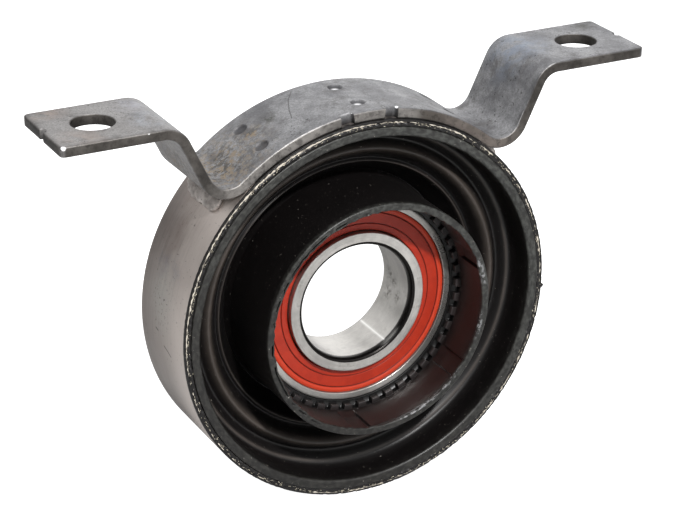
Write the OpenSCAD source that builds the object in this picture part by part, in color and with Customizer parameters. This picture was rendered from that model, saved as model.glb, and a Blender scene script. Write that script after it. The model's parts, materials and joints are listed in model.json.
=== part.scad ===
// Driveshaft centre bearing: a sealed ball bearing in a rubber diaphragm, inside a steel
// ring shell that hangs from two bolts by a bent strap.
// Millimetres. +Y runs along the shaft to the rear, +Z up to the ears, +X to the right.
// The origin is on the shaft axis, at the middle of the shell's width.

/* [Shell] */
// Outside diameter of the ring shell
shell_od = 115; // [112:0.5:120]
// Width of the shell along the shaft
shell_width = 30; // [28:0.5:34]
// Sheet thickness of the shell
shell_wall = 2; // [1.5:0.1:2.6]
// Broken edge at the shell's two rims
shell_edge = 0.4; // [0.2:0.1:0.6]

/* [Hanger strap] */
// Thickness of the strap
strap_thickness = 3; // [2:0.1:4]
// Width of the strap along the shaft
strap_width = 28.5; // [24:0.5:32]
// Angle from the top at which the strap leaves the shell
strap_wrap = 39.7; // [36:0.1:44]
// Lean of the two risers, outwards from upright
riser_lean = 25.5; // [15:0.5:32]
// Bend radius of the strap's upper face where it leaves the shell
lower_bend = 6; // [4:0.5:8]
// Bend radius of the strap's upper face at the ears
upper_bend = 8; // [5:0.5:10]
// Height of the ears' upper face above the shaft axis
ear_height = 65.2; // [62:0.1:72]
// Distance between the two bolt holes
hole_spacing = 151; // [148:0.5:160]
// Diameter of the bolt holes
hole_d = 12; // [9:0.1:13]
// From a bolt hole's centre to the end of its ear
ear_margin = 14.5; // [12:0.5:18]
// Corner radius of the ears
ear_corner = 1.8; // [1:0.1:5]
// Radius of the half-round notch in the end of each ear
end_notch_r = 1.4; // [0.8:0.1:3]
// Angle from the top of the two notches in the strap's front edge
edge_notch_angle = 6.6; // [4:0.1:12]
// Width of each front-edge notch
edge_notch_width = 4; // [3:0.1:6]
// Depth of each front-edge notch
edge_notch_depth = 1.9; // [1.2:0.05:4]
// Radius of the inner corners of the front-edge notches
edge_notch_corner = 0.8; // [0.4:0.1:1]

/* [Welds] */
// Angle from the top of the outer pairs of weld dimples
dimple_angle = 29.2; // [20:0.1:33]
// Distance along the shaft between the two dimples of a pair
dimple_spacing = 13.8; // [8:0.1:18]
// Diameter of each dimple
dimple_d = 4; // [2:0.1:6]
// Depth of each dimple
dimple_depth = 0.7; // [0.2:0.1:1.2]
// Radius of the fillet welds under the lower bends
bead_r = 4; // [3:0.1:4.6]
// Angle from the top of the fillet welds
bead_angle = 47; // [45:0.1:49]
// Length of each fillet weld along the shaft
bead_length = 21; // [8:0.5:24]
// Distance of the fillet welds' middle behind the shell's mid-plane
bead_offset = 2; // [-2:0.5:3]

/* [Rubber diaphragm] */
// Thickness of the rubber bonded to the inside of the shell
rubber_wall = 2.8; // [2:0.1:4]
// How far the rubber lip stands in front of the shell
rubber_proud = 0.6; // [0.2:0.1:1.5]
// Inset of the rubber from the shell's rear edge
rubber_inset = 0.6; // [0.2:0.1:2]
// Thickness of the rolled web, along the shaft
web_thickness = 4; // [3:0.1:5]
// Depth of the web behind the shell's front where it meets the shell's rubber
web_rim_depth = 7; // [5:0.1:8]
// Depth of the two ridges of the web
ridge_depth = 9.5; // [8.5:0.1:11]
// Depth of the groove between the ridges
groove_depth = 12; // [11:0.1:13]
// Depth of the groove inside the inner ridge
inner_groove_depth = 13.5; // [13:0.1:15]
// Depth of the small step before the web drops to the collar
step_depth = 13; // [12.5:0.1:14]
// Depth of the web's root on the collar
web_root_depth = 20; // [17:0.1:21]
// Thickness of the rubber collar around the sleeve
collar_skin = 0.6; // [0.4:0.1:1.2]
// Thickening of the collar at the web's root
collar_root = 1.2; // [0.6:0.1:2]
// How far the collar's lip stands in front of the shell
collar_reach = 6.9; // [4:0.1:9]
// Thickness of the lip that covers the sleeve's front edge
collar_lip = 1; // [0.6:0.1:1.6]

/* [Bearing sleeve] */
// Step from the bearing's seat out to the wall of the mouth
mouth_step = 2.3; // [1.8:0.1:3]
// Wall of the sleeve at its mouth
mouth_wall = 1.4; // [1.2:0.1:2]
// Angle that each channel of the mouth takes up
channel_angle = 9.75; // [6:0.25:14]
// Depth of the channels
channel_depth = 0.8; // [0.4:0.1:1]
// Turn of the channels about the shaft
channel_turn = 39; // [0:1:59]
// Length of the teeth along the shaft
tooth_length = 2; // [1:0.1:3]
// Height of the teeth, inwards from the mouth's wall
tooth_height = 1.5; // [0.8:0.1:1.7]
// Height of the shoulder behind the bearing
shoulder_height = 3.5; // [2:0.1:4]
// Thickness of the shoulder behind the bearing
shoulder_thickness = 2; // [1:0.1:3]

/* [Bearing] */
// Diameter of the shaft bore
bore_d = 35; // [34:0.5:36]
// Outside diameter of the outer ring
ring_od = 62; // [61:0.5:64]
// Width of the inner ring
inner_ring_width = 18; // [16.5:0.5:20]
// Width of the outer ring
outer_ring_width = 16; // [15.5:0.5:18]
// Distance of the bearing's middle behind the shell's mid-plane
bearing_offset = 1.1; // [0:0.1:1.5]
// Radial size of the rounded bore edge
bore_edge_r = 1.15; // [0.4:0.05:1.5]
// Size of the rounded bore edge along the shaft
bore_edge_length = 1.6; // [0.6:0.1:2]
// Broken edge of the rings' other corners
ring_edge = 0.3; // [0.1:0.05:0.5]
// Ball diameter
ball_d = 7.938; // [7.5:0.001:8.1]
// Depth of the inner ring's raceway
inner_groove = 1.18; // [1:0.01:1.3]
// Depth of the outer ring's raceway
outer_groove = 1.68; // [1.3:0.01:1.8]

/* [Seals and cage] */
// Radial thickness of the outer ring outside a seal
seal_lip = 2.15; // [1.9:0.05:2.3]
// Depth of the outer ring's seal recess
seal_recess = 2.4; // [2.1:0.1:2.5]
// Thickness of each seal
seal_thickness = 2; // [1.2:0.1:2]
// Distance of the outer fine groove from the seal's rim
seal_outer_groove = 1.75; // [1:0.05:2.4]
// Distance of the inner fine groove from the seal's inner edge
seal_inner_groove = 2.05; // [1:0.05:2.4]
// Width of the fine grooves on the seals
seal_groove_width = 0.3; // [0.2:0.05:0.5]
// Depth of the fine grooves on the seals
seal_groove_depth = 0.25; // [0.1:0.05:0.5]
// Radial width of the cage ribbon
cage_width = 3.1; // [2.8:0.1:3.4]
// Sheet thickness of the cage
cage_sheet = 0.9; // [0.6:0.1:1]
// Diameter of the cage rivets
rivet_d = 1.2; // [0.8:0.1:1.4]
// Diameter of the rivet heads
rivet_head_d = 2.2; // [1.8:0.1:2.4]
// Height of the rivet heads
rivet_head_h = 0.6; // [0.3:0.1:0.8]

/* [Clearances] */
// Gap under the strap that the welds draw together
weld_seam = 0.05; // [0.02:0.01:0.1]
// Thickness of the bond between rubber and metal
bond_line = 0.05; // [0.02:0.01:0.1]
// Gap of the parts that are pressed or clipped together
fit_gap = 0.02; // [0.01:0.01:0.05]
// Gap between the balls and their raceways
race_play = 0.06; // [0.03:0.01:0.1]
// Gap between the balls and the cage pockets
pocket_play = 0.1; // [0.05:0.01:0.15]
// Running gap between a seal and the inner ring
seal_gap = 0.3; // [0.2:0.05:0.4]

/* [Hidden] */
$fn = 96;
ball_count = 11;
channel_count = 6;
tooth_count = 45;
tooth_share = 0.55;
steps_per_fold = 5;
arc_step = 2.5;
cut_over = 1;

// Places of the web's folds, as shares of the way from the shell's rubber to the collar
fold_places = [0, 0.1, 0.26, 0.43, 0.58, 0.74, 1];
fold_depths = [
    web_rim_depth, ridge_depth, groove_depth, ridge_depth,
    inner_groove_depth, step_depth, web_root_depth
];

// Shell and strap
shell_r = shell_od / 2;
shell_inner_r = shell_r - shell_wall;
front = -shell_width / 2;
rear = shell_width / 2;
strap_inner_r = shell_r + weld_seam;
strap_outer_r = strap_inner_r + strap_thickness;
ear_end = hole_spacing / 2 + ear_margin;
riser_angle = 90 - riser_lean;
riser_along = [cos(riser_angle), sin(riser_angle)];
riser_across = [-sin(riser_angle), cos(riser_angle)];
lower_centre = (strap_outer_r + lower_bend) * [sin(strap_wrap), cos(strap_wrap)];
bends_across = lower_bend + upper_bend;
riser_length = (ear_height - upper_bend - lower_centre.y + bends_across * riser_across.y) / riser_along.y;
upper_centre = lower_centre - bends_across * riser_across + riser_length * riser_along;
dimple_r = (pow(dimple_d / 2, 2) + pow(dimple_depth, 2)) / (2 * dimple_depth);

// Bearing
bore_r = bore_d / 2;
ring_r = ring_od / 2;
pitch_r = (bore_r + ring_r) / 2;
ball_r = ball_d / 2;
race_r = ball_r + race_play;
inner_land_r = pitch_r - race_r + inner_groove;
outer_land_r = pitch_r + race_r - outer_groove;
inner_half = inner_ring_width / 2;
outer_half = outer_ring_width / 2;
seal_seat_r = ring_r - seal_lip;
seal_outer_r = seal_seat_r - fit_gap;
seal_inner_r = inner_land_r + seal_gap;
seal_back = outer_half - seal_recess;
seal_face = seal_back + seal_thickness;
pocket_r = ball_r + pocket_play;
cup_r = pocket_r + cage_sheet;
cage_inner_r = pitch_r - cage_width / 2;
cage_outer_r = pitch_r + cage_width / 2;

// Sleeve and rubber
seat_r = ring_r + fit_gap;
mouth_r = ring_r + mouth_step;
sleeve_r = mouth_r + mouth_wall;
collar_inner_r = sleeve_r + bond_line;
collar_r = collar_inner_r + collar_skin;
root_r = collar_r + collar_root;
collar_front = front - collar_reach;
sleeve_front = collar_front + collar_lip + bond_line;
seat_front = bearing_offset - outer_half - fit_gap;
seat_rear = bearing_offset + outer_half + fit_gap;
sleeve_rear = seat_rear + shoulder_thickness;
rubber_outer_r = shell_inner_r - bond_line;
lip_r = rubber_outer_r - rubber_wall;

function ball_name(i) = str("ball_", i < 10 ? "0" : "", i);
function ball_turn(i) = 360 * (i - 1) / ball_count;
function ease(t) = (1 - cos(180 * t)) / 2;
function mix(a, b, t) = a + (b - a) * t;

// Points of the rolled web's front face, from the shell's rubber in to the collar
function web_face() = [
    for (k = [0:len(fold_places) - 2], s = [0:steps_per_fold - 1])
        let (t = s / steps_per_fold)
            [mix(lip_r, root_r, mix(fold_places[k], fold_places[k + 1], t)),
             front + mix(fold_depths[k], fold_depths[k + 1], ease(t))],
    [root_r, front + web_root_depth]
];
function reversed(list) = [for (i = [len(list) - 1:-1:0]) list[i]];

// Points on an arc, ends included, in even steps of about arc_step degrees
function arc(centre, r, from, to) =
    let (steps = ceil(abs(to - from) / arc_step))
        [for (k = [0:steps]) let (a = mix(from, to, k / steps)) centre + r * [cos(a), sin(a)]];

// The right half of the strap seen from the front: out along its upper face, back underneath
function strap_half() = concat(
    arc([0, 0], strap_outer_r, 90, 90 - strap_wrap),
    arc(lower_centre, lower_bend, 270 - strap_wrap, 270 + riser_angle),
    arc(upper_centre, upper_bend, 90 + riser_angle, 90),
    [[ear_end, ear_height], [ear_end, ear_height - strap_thickness]],
    arc(upper_centre, upper_bend - strap_thickness, 90, 90 + riser_angle),
    arc(lower_centre, lower_bend + strap_thickness, 270 + riser_angle, 270 - strap_wrap),
    arc([0, 0], strap_inner_r, 90 - strap_wrap, 90)
);

// The same points on the other side and in the other order, without the two that are shared
function mirrored_back(list) = [for (i = [len(list) - 2:-1:1]) [-list[i].x, list[i].y]];

// A profile of radius and place along the shaft, turned about the shaft
module turned(profile) {
    rotate([-90, 0, 0]) rotate_extrude() polygon(profile);
}

// A tube about the shaft
module tube(inner, outer, from, to) {
    turned([[inner, from], [outer, from], [outer, to], [inner, to]]);
}

// An outline seen from the front, carried along the shaft and centred on the mid-plane
module across(width) {
    rotate([90, 0, 0]) linear_extrude(width, center = true) children();
}

// A flat band bent to an arc
module arc_band(inner, outer, from, to) {
    far = 2 * outer;
    middle = (from + to) / 2;
    intersection() {
        difference() {
            circle(outer);
            circle(inner);
        }
        polygon([
            [0, 0], far * [cos(from), sin(from)],
            far * [cos(middle), sin(middle)], far * [cos(to), sin(to)]
        ]);
    }
}

module strap_outline() {
    polygon(concat(strap_half(), mirrored_back(strap_half())));
}

// What is cut from the right-hand ear, seen from above
module ear_cuts() {
    translate([hole_spacing / 2, 0]) circle(d = hole_d);
    translate([ear_end, 0]) circle(end_notch_r);
    for (edge = [0, 1])
        mirror([0, edge]) translate([ear_end - ear_corner, strap_width / 2 - ear_corner])
            difference() {
                square(ear_corner + cut_over);
                circle(ear_corner);
            }
}

// A notch with two rounded inner corners, open towards -Y
module edge_notch() {
    half = edge_notch_width / 2;
    inner = half - edge_notch_corner;
    straight = edge_notch_depth - edge_notch_corner;
    translate([-half, -cut_over]) square([edge_notch_width, straight + cut_over]);
    translate([-inner, 0]) square([2 * inner, edge_notch_depth]);
    for (side = [-1, 1]) translate([side * inner, straight]) circle(edge_notch_corner);
}

module hanger_strap() {
    color([0.58, 0.58, 0.6]) difference() {
        across(strap_width) strap_outline();
        for (side = [0, 1])
            mirror([side, 0, 0]) translate([0, 0, ear_height - strap_thickness - cut_over])
                linear_extrude(strap_thickness + 2 * cut_over) ear_cuts();
        for (side = [-1, 1])
            rotate([0, side * edge_notch_angle, 0])
                translate([0, -strap_width / 2, strap_inner_r - cut_over])
                    linear_extrude(strap_thickness + 2 * cut_over) edge_notch();
        for (row = [-1:1], side = [-1, 1])
            rotate([0, row * dimple_angle, 0])
                translate([0, side * dimple_spacing / 2, strap_outer_r - dimple_depth + dimple_r])
                    sphere(dimple_r);
    }
}

module outer_shell() {
    color([0.55, 0.52, 0.5]) turned([
        [shell_inner_r, front], [shell_r - shell_edge, front], [shell_r, front + shell_edge],
        [shell_r, rear - shell_edge], [shell_r - shell_edge, rear], [shell_inner_r, rear]
    ]);
}

module weld_beads() {
    color([0.5, 0.5, 0.51])
        for (side = [0, 1])
            mirror([side, 0, 0]) translate([0, bead_offset, 0]) across(bead_length)
                difference() {
                    rotate(90 - bead_angle) translate([shell_r, 0]) circle(bead_r);
                    circle(shell_r);
                    strap_outline();
                }
}

module rubber_diaphragm() {
    web = web_face();
    color([0.07, 0.065, 0.065]) turned(concat(
        [[rubber_outer_r, front - rubber_proud], [lip_r, front - rubber_proud]],
        web,
        [[collar_r, front + web_root_depth - collar_root], [collar_r, collar_front],
         [mouth_r, collar_front], [mouth_r, collar_front + collar_lip],
         [collar_inner_r, collar_front + collar_lip],
         [collar_inner_r, sleeve_rear], [root_r, sleeve_rear]],
        [for (p = reversed(web)) p + [0, web_thickness]],
        [[lip_r, rear - rubber_inset], [rubber_outer_r, rear - rubber_inset]]
    ));
}

// One channel of the mouth, or the whole of one tooth, as a bent block along the shaft
module mouth_block(inner, outer, turn, angle, from, to) {
    rotate([-90, 0, 0]) translate([0, 0, from])
        linear_extrude(to - from) arc_band(inner, outer, turn - angle / 2, turn + angle / 2);
}

module bearing_sleeve() {
    tooth_pitch = 360 / tooth_count;
    channel_rear = seat_front - 2 * tooth_length;
    color([0.2, 0.15, 0.14]) {
        difference() {
            turned([
                [mouth_r, sleeve_front], [sleeve_r, sleeve_front], [sleeve_r, sleeve_rear],
                [seat_r - shoulder_height, sleeve_rear], [seat_r - shoulder_height, seat_rear],
                [seat_r, seat_rear], [seat_r, seat_front], [mouth_r, seat_front]
            ]);
            for (k = [0:channel_count - 1])
                mouth_block(mouth_r - cut_over, mouth_r + channel_depth,
                    channel_turn + 360 * k / channel_count, channel_angle,
                    sleeve_front - cut_over, channel_rear);
        }
        for (k = [0:tooth_count - 1])
            mouth_block(mouth_r - tooth_height, mouth_r + mouth_wall / 2,
                tooth_pitch * k, tooth_share * tooth_pitch,
                seat_front - tooth_length, seat_front + tooth_length / 2);
    }
}

// The groove that the balls run in
module raceway() {
    rotate([-90, 0, 0]) rotate_extrude() translate([pitch_r, 0]) circle(race_r);
}

module bearing_outer_ring() {
    color([0.66, 0.66, 0.65]) translate([0, bearing_offset, 0]) difference() {
        turned([
            [seal_seat_r, -outer_half], [ring_r - ring_edge, -outer_half],
            [ring_r, -outer_half + ring_edge], [ring_r, outer_half - ring_edge],
            [ring_r - ring_edge, outer_half], [seal_seat_r, outer_half],
            [seal_seat_r, seal_back], [outer_land_r, seal_back],
            [outer_land_r, -seal_back], [seal_seat_r, -seal_back]
        ]);
        raceway();
    }
}

module bearing_inner_ring() {
    color([0.74, 0.74, 0.72]) translate([0, bearing_offset, 0]) difference() {
        turned([
            [bore_r, bore_edge_length - inner_half], [bore_r + bore_edge_r, -inner_half],
            [inner_land_r - ring_edge, -inner_half], [inner_land_r, ring_edge - inner_half],
            [inner_land_r, inner_half - ring_edge], [inner_land_r - ring_edge, inner_half],
            [bore_r + bore_edge_r, inner_half], [bore_r, inner_half - bore_edge_length]
        ]);
        raceway();
    }
}

// A seal that faces -Y, with its fine grooves, placed about the bearing's middle
module seal() {
    groove_floor = seal_groove_depth - seal_face;
    difference() {
        tube(seal_inner_r, seal_outer_r, -seal_face, -seal_back);
        for (r = [seal_outer_r - seal_outer_groove, seal_inner_r + seal_inner_groove])
            tube(r - seal_groove_width / 2, r + seal_groove_width / 2, -seal_face - cut_over, groove_floor);
    }
}

module front_seal() {
    color([0.75, 0.2, 0.13]) translate([0, bearing_offset, 0]) seal();
}

module rear_seal() {
    color([0.75, 0.2, 0.13]) translate([0, bearing_offset, 0]) mirror([0, 1, 0]) seal();
}

module at_ball(i) {
    rotate([0, ball_turn(i), 0]) translate([0, 0, pitch_r]) children();
}

module at_rivet(i) {
    rotate([0, 180 / ball_count, 0]) at_ball(i) children();
}

// A rod that points out from the shaft at a ball, across the cage ribbon
module pocket_rod(r, over) {
    translate([0, 0, -cage_width / 2 - over]) cylinder(r = r, h = cage_width + 2 * over);
}

// The front half of the cage about the bearing's middle: a ribbon that bulges around each ball
module cage_half() {
    difference() {
        union() {
            tube(cage_inner_r, cage_outer_r, -cage_sheet, 0);
            for (i = [1:ball_count]) at_ball(i) pocket_rod(cup_r, 0);
        }
        for (i = [1:ball_count]) {
            at_ball(i) pocket_rod(pocket_r, cut_over);
            at_rivet(i) rotate([90, 0, 0])
                cylinder(d = rivet_d + 2 * fit_gap, h = 2 * cage_sheet + cut_over, center = true);
        }
        rotate([-90, 0, 0]) cylinder(r = ring_r, h = outer_ring_width);
    }
}

module front_cage_half() {
    color([0.6, 0.6, 0.58]) translate([0, bearing_offset, 0]) cage_half();
}

module rear_cage_half() {
    color([0.6, 0.6, 0.58]) translate([0, bearing_offset, 0]) mirror([0, 1, 0]) cage_half();
}

module cage_rivets() {
    color([0.62, 0.6, 0.55]) translate([0, bearing_offset, 0])
        for (i = [1:ball_count])
            at_rivet(i) rotate([90, 0, 0]) {
                cylinder(d = rivet_d, h = 2 * cage_sheet, center = true);
                for (side = [0, 1])
                    mirror([0, 0, side]) translate([0, 0, cage_sheet])
                        cylinder(d = rivet_head_d, h = rivet_head_h);
            }
}

module ball(i) {
    color([0.78, 0.78, 0.78]) translate([0, bearing_offset, 0]) at_ball(i) sphere(ball_r);
}

hanger_strap();
outer_shell();
weld_beads();
rubber_diaphragm();
bearing_sleeve();
bearing_outer_ring();
bearing_inner_ring();
front_seal();
rear_seal();
front_cage_half();
rear_cage_half();
cage_rivets();
for (i = [1:ball_count])
    ball(i);
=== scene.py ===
# %% [markdown]
# A driveshaft centre bearing: a bent steel strap welded over a short steel drum, a folded
# rubber diaphragm in the drum, and a ball bearing in a moulded sleeve at its middle.
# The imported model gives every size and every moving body. This lesson dresses it: each
# piece that shows is worked out again as a fine surface, at the same place.

# %% Load the frame and read its sizes
import json

import bmesh
import bpy
import numpy as np
from mathutils import Matrix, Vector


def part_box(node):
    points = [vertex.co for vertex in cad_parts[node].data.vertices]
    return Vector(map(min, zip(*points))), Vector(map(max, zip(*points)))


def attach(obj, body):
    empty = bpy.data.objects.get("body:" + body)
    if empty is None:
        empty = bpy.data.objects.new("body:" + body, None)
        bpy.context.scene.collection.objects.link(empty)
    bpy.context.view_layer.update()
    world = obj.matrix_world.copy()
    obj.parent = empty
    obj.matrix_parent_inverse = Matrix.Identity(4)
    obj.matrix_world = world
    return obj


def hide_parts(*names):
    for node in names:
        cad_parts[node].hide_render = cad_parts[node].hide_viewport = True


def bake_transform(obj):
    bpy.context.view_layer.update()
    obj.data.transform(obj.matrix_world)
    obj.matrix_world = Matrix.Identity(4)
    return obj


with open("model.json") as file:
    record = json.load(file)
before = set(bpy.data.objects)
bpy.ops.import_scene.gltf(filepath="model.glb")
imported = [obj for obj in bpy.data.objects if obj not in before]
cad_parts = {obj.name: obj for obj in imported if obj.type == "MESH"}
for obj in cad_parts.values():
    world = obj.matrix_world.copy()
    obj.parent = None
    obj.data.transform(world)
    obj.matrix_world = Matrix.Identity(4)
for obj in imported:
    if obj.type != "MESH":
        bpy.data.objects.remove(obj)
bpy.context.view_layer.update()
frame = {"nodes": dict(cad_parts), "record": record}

MM = 0.001


def node_box(name):
    """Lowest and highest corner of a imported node, in millimetres."""
    low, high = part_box(name)
    return np.array(low) / MM, np.array(high) / MM


mounts = {mount["name"]: mount["dims"] for mount in frame["record"]["mounts"]}
shell_low, shell_high = node_box("outer_shell")
strap_high = node_box("hanger_strap")[1]
sleeve_low, sleeve_high = node_box("bearing_sleeve")
rubber_low = node_box("rubber_diaphragm")[0]
shell_r = shell_high[0]
print("drum radius", round(shell_r, 2), "mm, strap reach", round(strap_high[0], 2), "mm")

# %% [markdown]
# Every new piece is a grid of points. The helpers below turn a grid into a mesh with
# four-cornered faces. They could call Blender's own primitives, but an array keeps each
# shape a formula, and one call fills the whole mesh.

# %% Grids into meshes
POLE_GAP = 1e-7
SHARP_ANGLE = np.radians(38)


def grid_faces(rows, columns, row_loop, column_loop):
    """Corner numbers of each face: point (i, j), the next along i, along both, and along j."""
    i = np.arange(rows if row_loop else rows - 1)[:, None]
    j = np.arange(columns if column_loop else columns - 1)[None, :]
    i_next = (i + 1) % rows
    j_next = (j + 1) % columns
    corners = [i * columns + j, i_next * columns + j, i_next * columns + j_next, i * columns + j_next]
    return np.stack(np.broadcast_arrays(*corners), axis=-1).reshape(-1, 4)


def outward(points, faces):
    """Turns all faces round where the volume that they enclose comes out negative."""
    a, b, c, d = (points[faces[:, k]] for k in range(4))
    volume = np.einsum("ij,ij->", a, np.cross(b, c) + np.cross(c, d))
    return faces if volume > 0 else faces[:, ::-1]


def mesh_piece(name, grids):
    """One smooth object from grids of points in millimetres, each with its two loop flags."""
    all_points = []
    all_faces = []
    count = 0
    for points, row_loop, column_loop in grids:
        rows, columns = points.shape[:2]
        flat = points.reshape(-1, 3)
        all_faces.append(outward(flat, grid_faces(rows, columns, row_loop, column_loop)) + count)
        all_points.append(flat)
        count += len(flat)
    points = np.concatenate(all_points) * MM
    faces = np.concatenate(all_faces)
    mesh = bpy.data.meshes.new(name)
    mesh.from_pydata(points, [], faces)
    mesh.polygons.foreach_set("use_smooth", np.ones(len(faces), bool))
    mesh.update()
    piece = bpy.data.objects.new(name, mesh)
    bpy.context.scene.collection.objects.link(piece)
    return piece


def close_poles(piece):
    """Merges the points that a pole or cap has squeezed together, and drops faces without area."""
    work = bmesh.new()
    work.from_mesh(piece.data)
    bmesh.ops.remove_doubles(work, verts=work.verts, dist=POLE_GAP)
    bmesh.ops.dissolve_degenerate(work, edges=work.edges, dist=POLE_GAP)
    bmesh.ops.recalc_face_normals(work, faces=work.faces)
    work.to_mesh(piece.data)
    work.free()


def mesh_points(piece):
    """The piece's points in millimetres, one row each."""
    flat = np.zeros(len(piece.data.vertices) * 3, np.float32)
    piece.data.vertices.foreach_get("co", flat)
    return flat.reshape(-1, 3).astype(float) / MM


def paint(piece, name, values):
    """Stores one number per point, or the same for all, which a material reads by that name."""
    layer = piece.data.attributes.new(name, "FLOAT", "POINT")
    layer.data.foreach_set("value", np.full(len(layer.data), values, np.float32))


def settle(piece, body, material, slot, *nodes):
    """Gives a piece its finish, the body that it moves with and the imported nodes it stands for."""
    piece.data.materials.append(material)
    if body:
        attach(piece, body)
    if nodes:
        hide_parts(*nodes)
    print(piece.name, len(piece.data.polygons), "faces on", body)


# %% [markdown]
# Most pieces here were turned or moulded round the shaft, so each is an outline carried
# round the Y axis. Real edges are never sharp: every corner of an outline becomes a small
# arc, which is what catches the light. A Bevel modifier could do it, but the outline is
# where the radius is known.

# %% Outlines and turning
ARC_STEPS = 7
TINY = 1e-9
SAME_PLACE = 1e-3
CROWD_SAMPLES = 6000
LIGHTEST_WAVE = 0.4


def rounded_outline(corners, radii, step):
    """A closed line whose corners are arcs that touch both sides, with a point at least every step."""
    corner = np.array(corners, float)
    radius = np.broadcast_to(np.asarray(radii, float), len(corner))[:, None]
    to_last = np.roll(corner, 1, axis=0) - corner
    to_next = np.roll(corner, -1, axis=0) - corner
    to_last = to_last / np.linalg.norm(to_last, axis=1, keepdims=True)
    to_next = to_next / np.linalg.norm(to_next, axis=1, keepdims=True)
    half = np.arccos(np.clip((to_last * to_next).sum(axis=1), -1, 1))[:, None] / 2
    middle = to_last + to_next
    middle = middle / np.maximum(np.linalg.norm(middle, axis=1, keepdims=True), TINY)
    centre = corner + middle * radius / np.sin(half)
    first = corner + to_last * radius / np.tan(half) - centre
    last = corner + to_next * radius / np.tan(half) - centre
    start = np.arctan2(first[:, 1], first[:, 0])
    sweep = np.arctan2(last[:, 1], last[:, 0]) - start
    sweep = (sweep + np.pi) % (2 * np.pi) - np.pi
    angle = start[:, None] + sweep[:, None] * np.linspace(0, 1, ARC_STEPS)
    arcs = centre[:, None] + radius[:, None] * np.stack([np.cos(angle), np.sin(angle)], axis=-1)
    return fine_line(np.concatenate([arcs.reshape(-1, 2), arcs[0, :1]]), step)[:-1]


def run_length(line):
    """Distance of each point from the first one, along the line."""
    return np.concatenate([[0], np.cumsum(np.linalg.norm(np.diff(line, axis=0), axis=1))])


def fine_line(line, step):
    """The same line with points added so that no stretch is much longer than the step."""
    length = run_length(line)
    keep = np.concatenate([[True], np.diff(length) > step * SAME_PLACE])
    even = np.arange(0, length[-1], step)
    near = np.abs(length[keep][:, None] - even).min(axis=0) < step / 3
    station = np.unique(np.concatenate([length[keep], even[~near]]))
    return np.stack([np.interp(station, length, line[:, k]) for k in range(2)], axis=1)


def round_shaft(radius, turn, along):
    """Points from a radius, a turn from the top towards +X and a place along the shaft."""
    return np.stack(np.broadcast_arrays(radius * np.sin(turn), along, radius * np.cos(turn)), axis=-1)


def turned(outline, turns):
    """Carries an outline of (radius, y) round the shaft, as a grid that loops both ways."""
    turn = np.linspace(0, 2 * np.pi, turns, endpoint=False)[:, None]
    return round_shaft(outline[None, :, 0], turn, outline[None, :, 1]), True, True


def shaft_radius(points):
    """Distance of each point from the shaft's axis."""
    return np.hypot(points[..., 0], points[..., 2])


def shaft_turn(points):
    """Angle of each point round the shaft, from the top towards +X."""
    return np.arctan2(points[..., 0], points[..., 2])


def near_turn(angle, centre, pitch):
    """Distance in angle to the nearest of the centres that repeat at the pitch."""
    return np.abs((angle - centre + pitch / 2) % pitch - pitch / 2)


def hill(value, middle, reach, power=2):
    """1 at the middle, falling off past the reach: e to the minus (distance / reach) ** power."""
    return np.exp(-((value - middle) / reach) ** power)


def window(value, low, high, fade):
    """1 between low and high, down to 0 over the fade at both ends."""
    return np.clip((value - low) / fade, 0, 1) * np.clip((high - value) / fade, 0, 1)


def crowded(start, stop, centres, count, reach, crowd):
    """Stations that crowd round each centre: even steps in the running total of a density."""
    fine = np.linspace(start, stop, CROWD_SAMPLES)
    distance = np.abs(fine[:, None] - np.asarray(centres, float)).min(axis=1)
    density = 1 + crowd * hill(distance, 0, reach, 4)
    total = np.concatenate([[0], np.cumsum((density[1:] + density[:-1]) / 2)])
    return np.interp(np.linspace(0, total[-1], count), total, fine)


def round_noise(angle, waves, seed):
    """Uneven but repeatable: cosines of the given wave counts with chance phases, scaled to unit size."""
    chance = np.random.default_rng(seed)
    phase = chance.uniform(0, 2 * np.pi, len(waves))
    weight = chance.uniform(LIGHTEST_WAVE, 1.0, len(waves))
    total = (weight * np.cos(np.multiply.outer(angle, waves) + phase)).sum(axis=-1)
    return total / np.sqrt((weight ** 2).sum() / 2)


print("outline helpers ready,", ARC_STEPS, "points to an arc")

# %% [markdown]
# The finishes come from nodes. Three effects return on several pieces, so each is a node
# group that is built once: weathering gives soft blotches, small specks and a fine grain;
# turning gives the hairline rings that a lathe or a grinder leaves; edge wear breaks up a
# painted edge mask, so that bare metal and a painted edge highlight show unevenly. A
# picture texture would be quicker, but these stay sharp at any distance.

# %% Node helpers
def srgb(red, green, blue):
    """A screen colour of 0 to 255 as the linear colour that shaders use, by the standard screen curve."""
    share = np.array([red, green, blue]) / 255
    linear = np.where(share <= 0.04045, share / 12.92, ((share + 0.055) / 1.055) ** 2.4)
    return (*linear.tolist(), 1.0)


def connect(tree, value, socket):
    """Links a socket, or sets a plain value."""
    if isinstance(value, bpy.types.NodeSocket):
        tree.links.new(value, socket)
    else:
        socket.default_value = value


def add_node(tree, kind, settings=None, **inputs):
    """One node with its settings, and its inputs by name with spaces as underscores."""
    made = tree.nodes.new(kind)
    for key, value in (settings or {}).items():
        setattr(made, key, value)
    for key, value in inputs.items():
        connect(tree, value, made.inputs[key.replace("_", " ")])
    return made


def calc(tree, operation, *values):
    """One step of arithmetic on sockets or numbers."""
    made = add_node(tree, "ShaderNodeMath", {"operation": operation})
    for value, socket in zip(values, made.inputs):
        connect(tree, value, socket)
    return made.outputs[0]


def vector_calc(tree, operation, *values):
    """One step of arithmetic on vectors: the node's outputs, Vector and Value."""
    made = add_node(tree, "ShaderNodeVectorMath", {"operation": operation})
    for value, socket in zip(values, made.inputs):
        connect(tree, value, socket)
    return made.outputs


def times(tree, first, second):
    """The product of two values: of two masks, what lies in both."""
    return calc(tree, "MULTIPLY", first, second)


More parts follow.
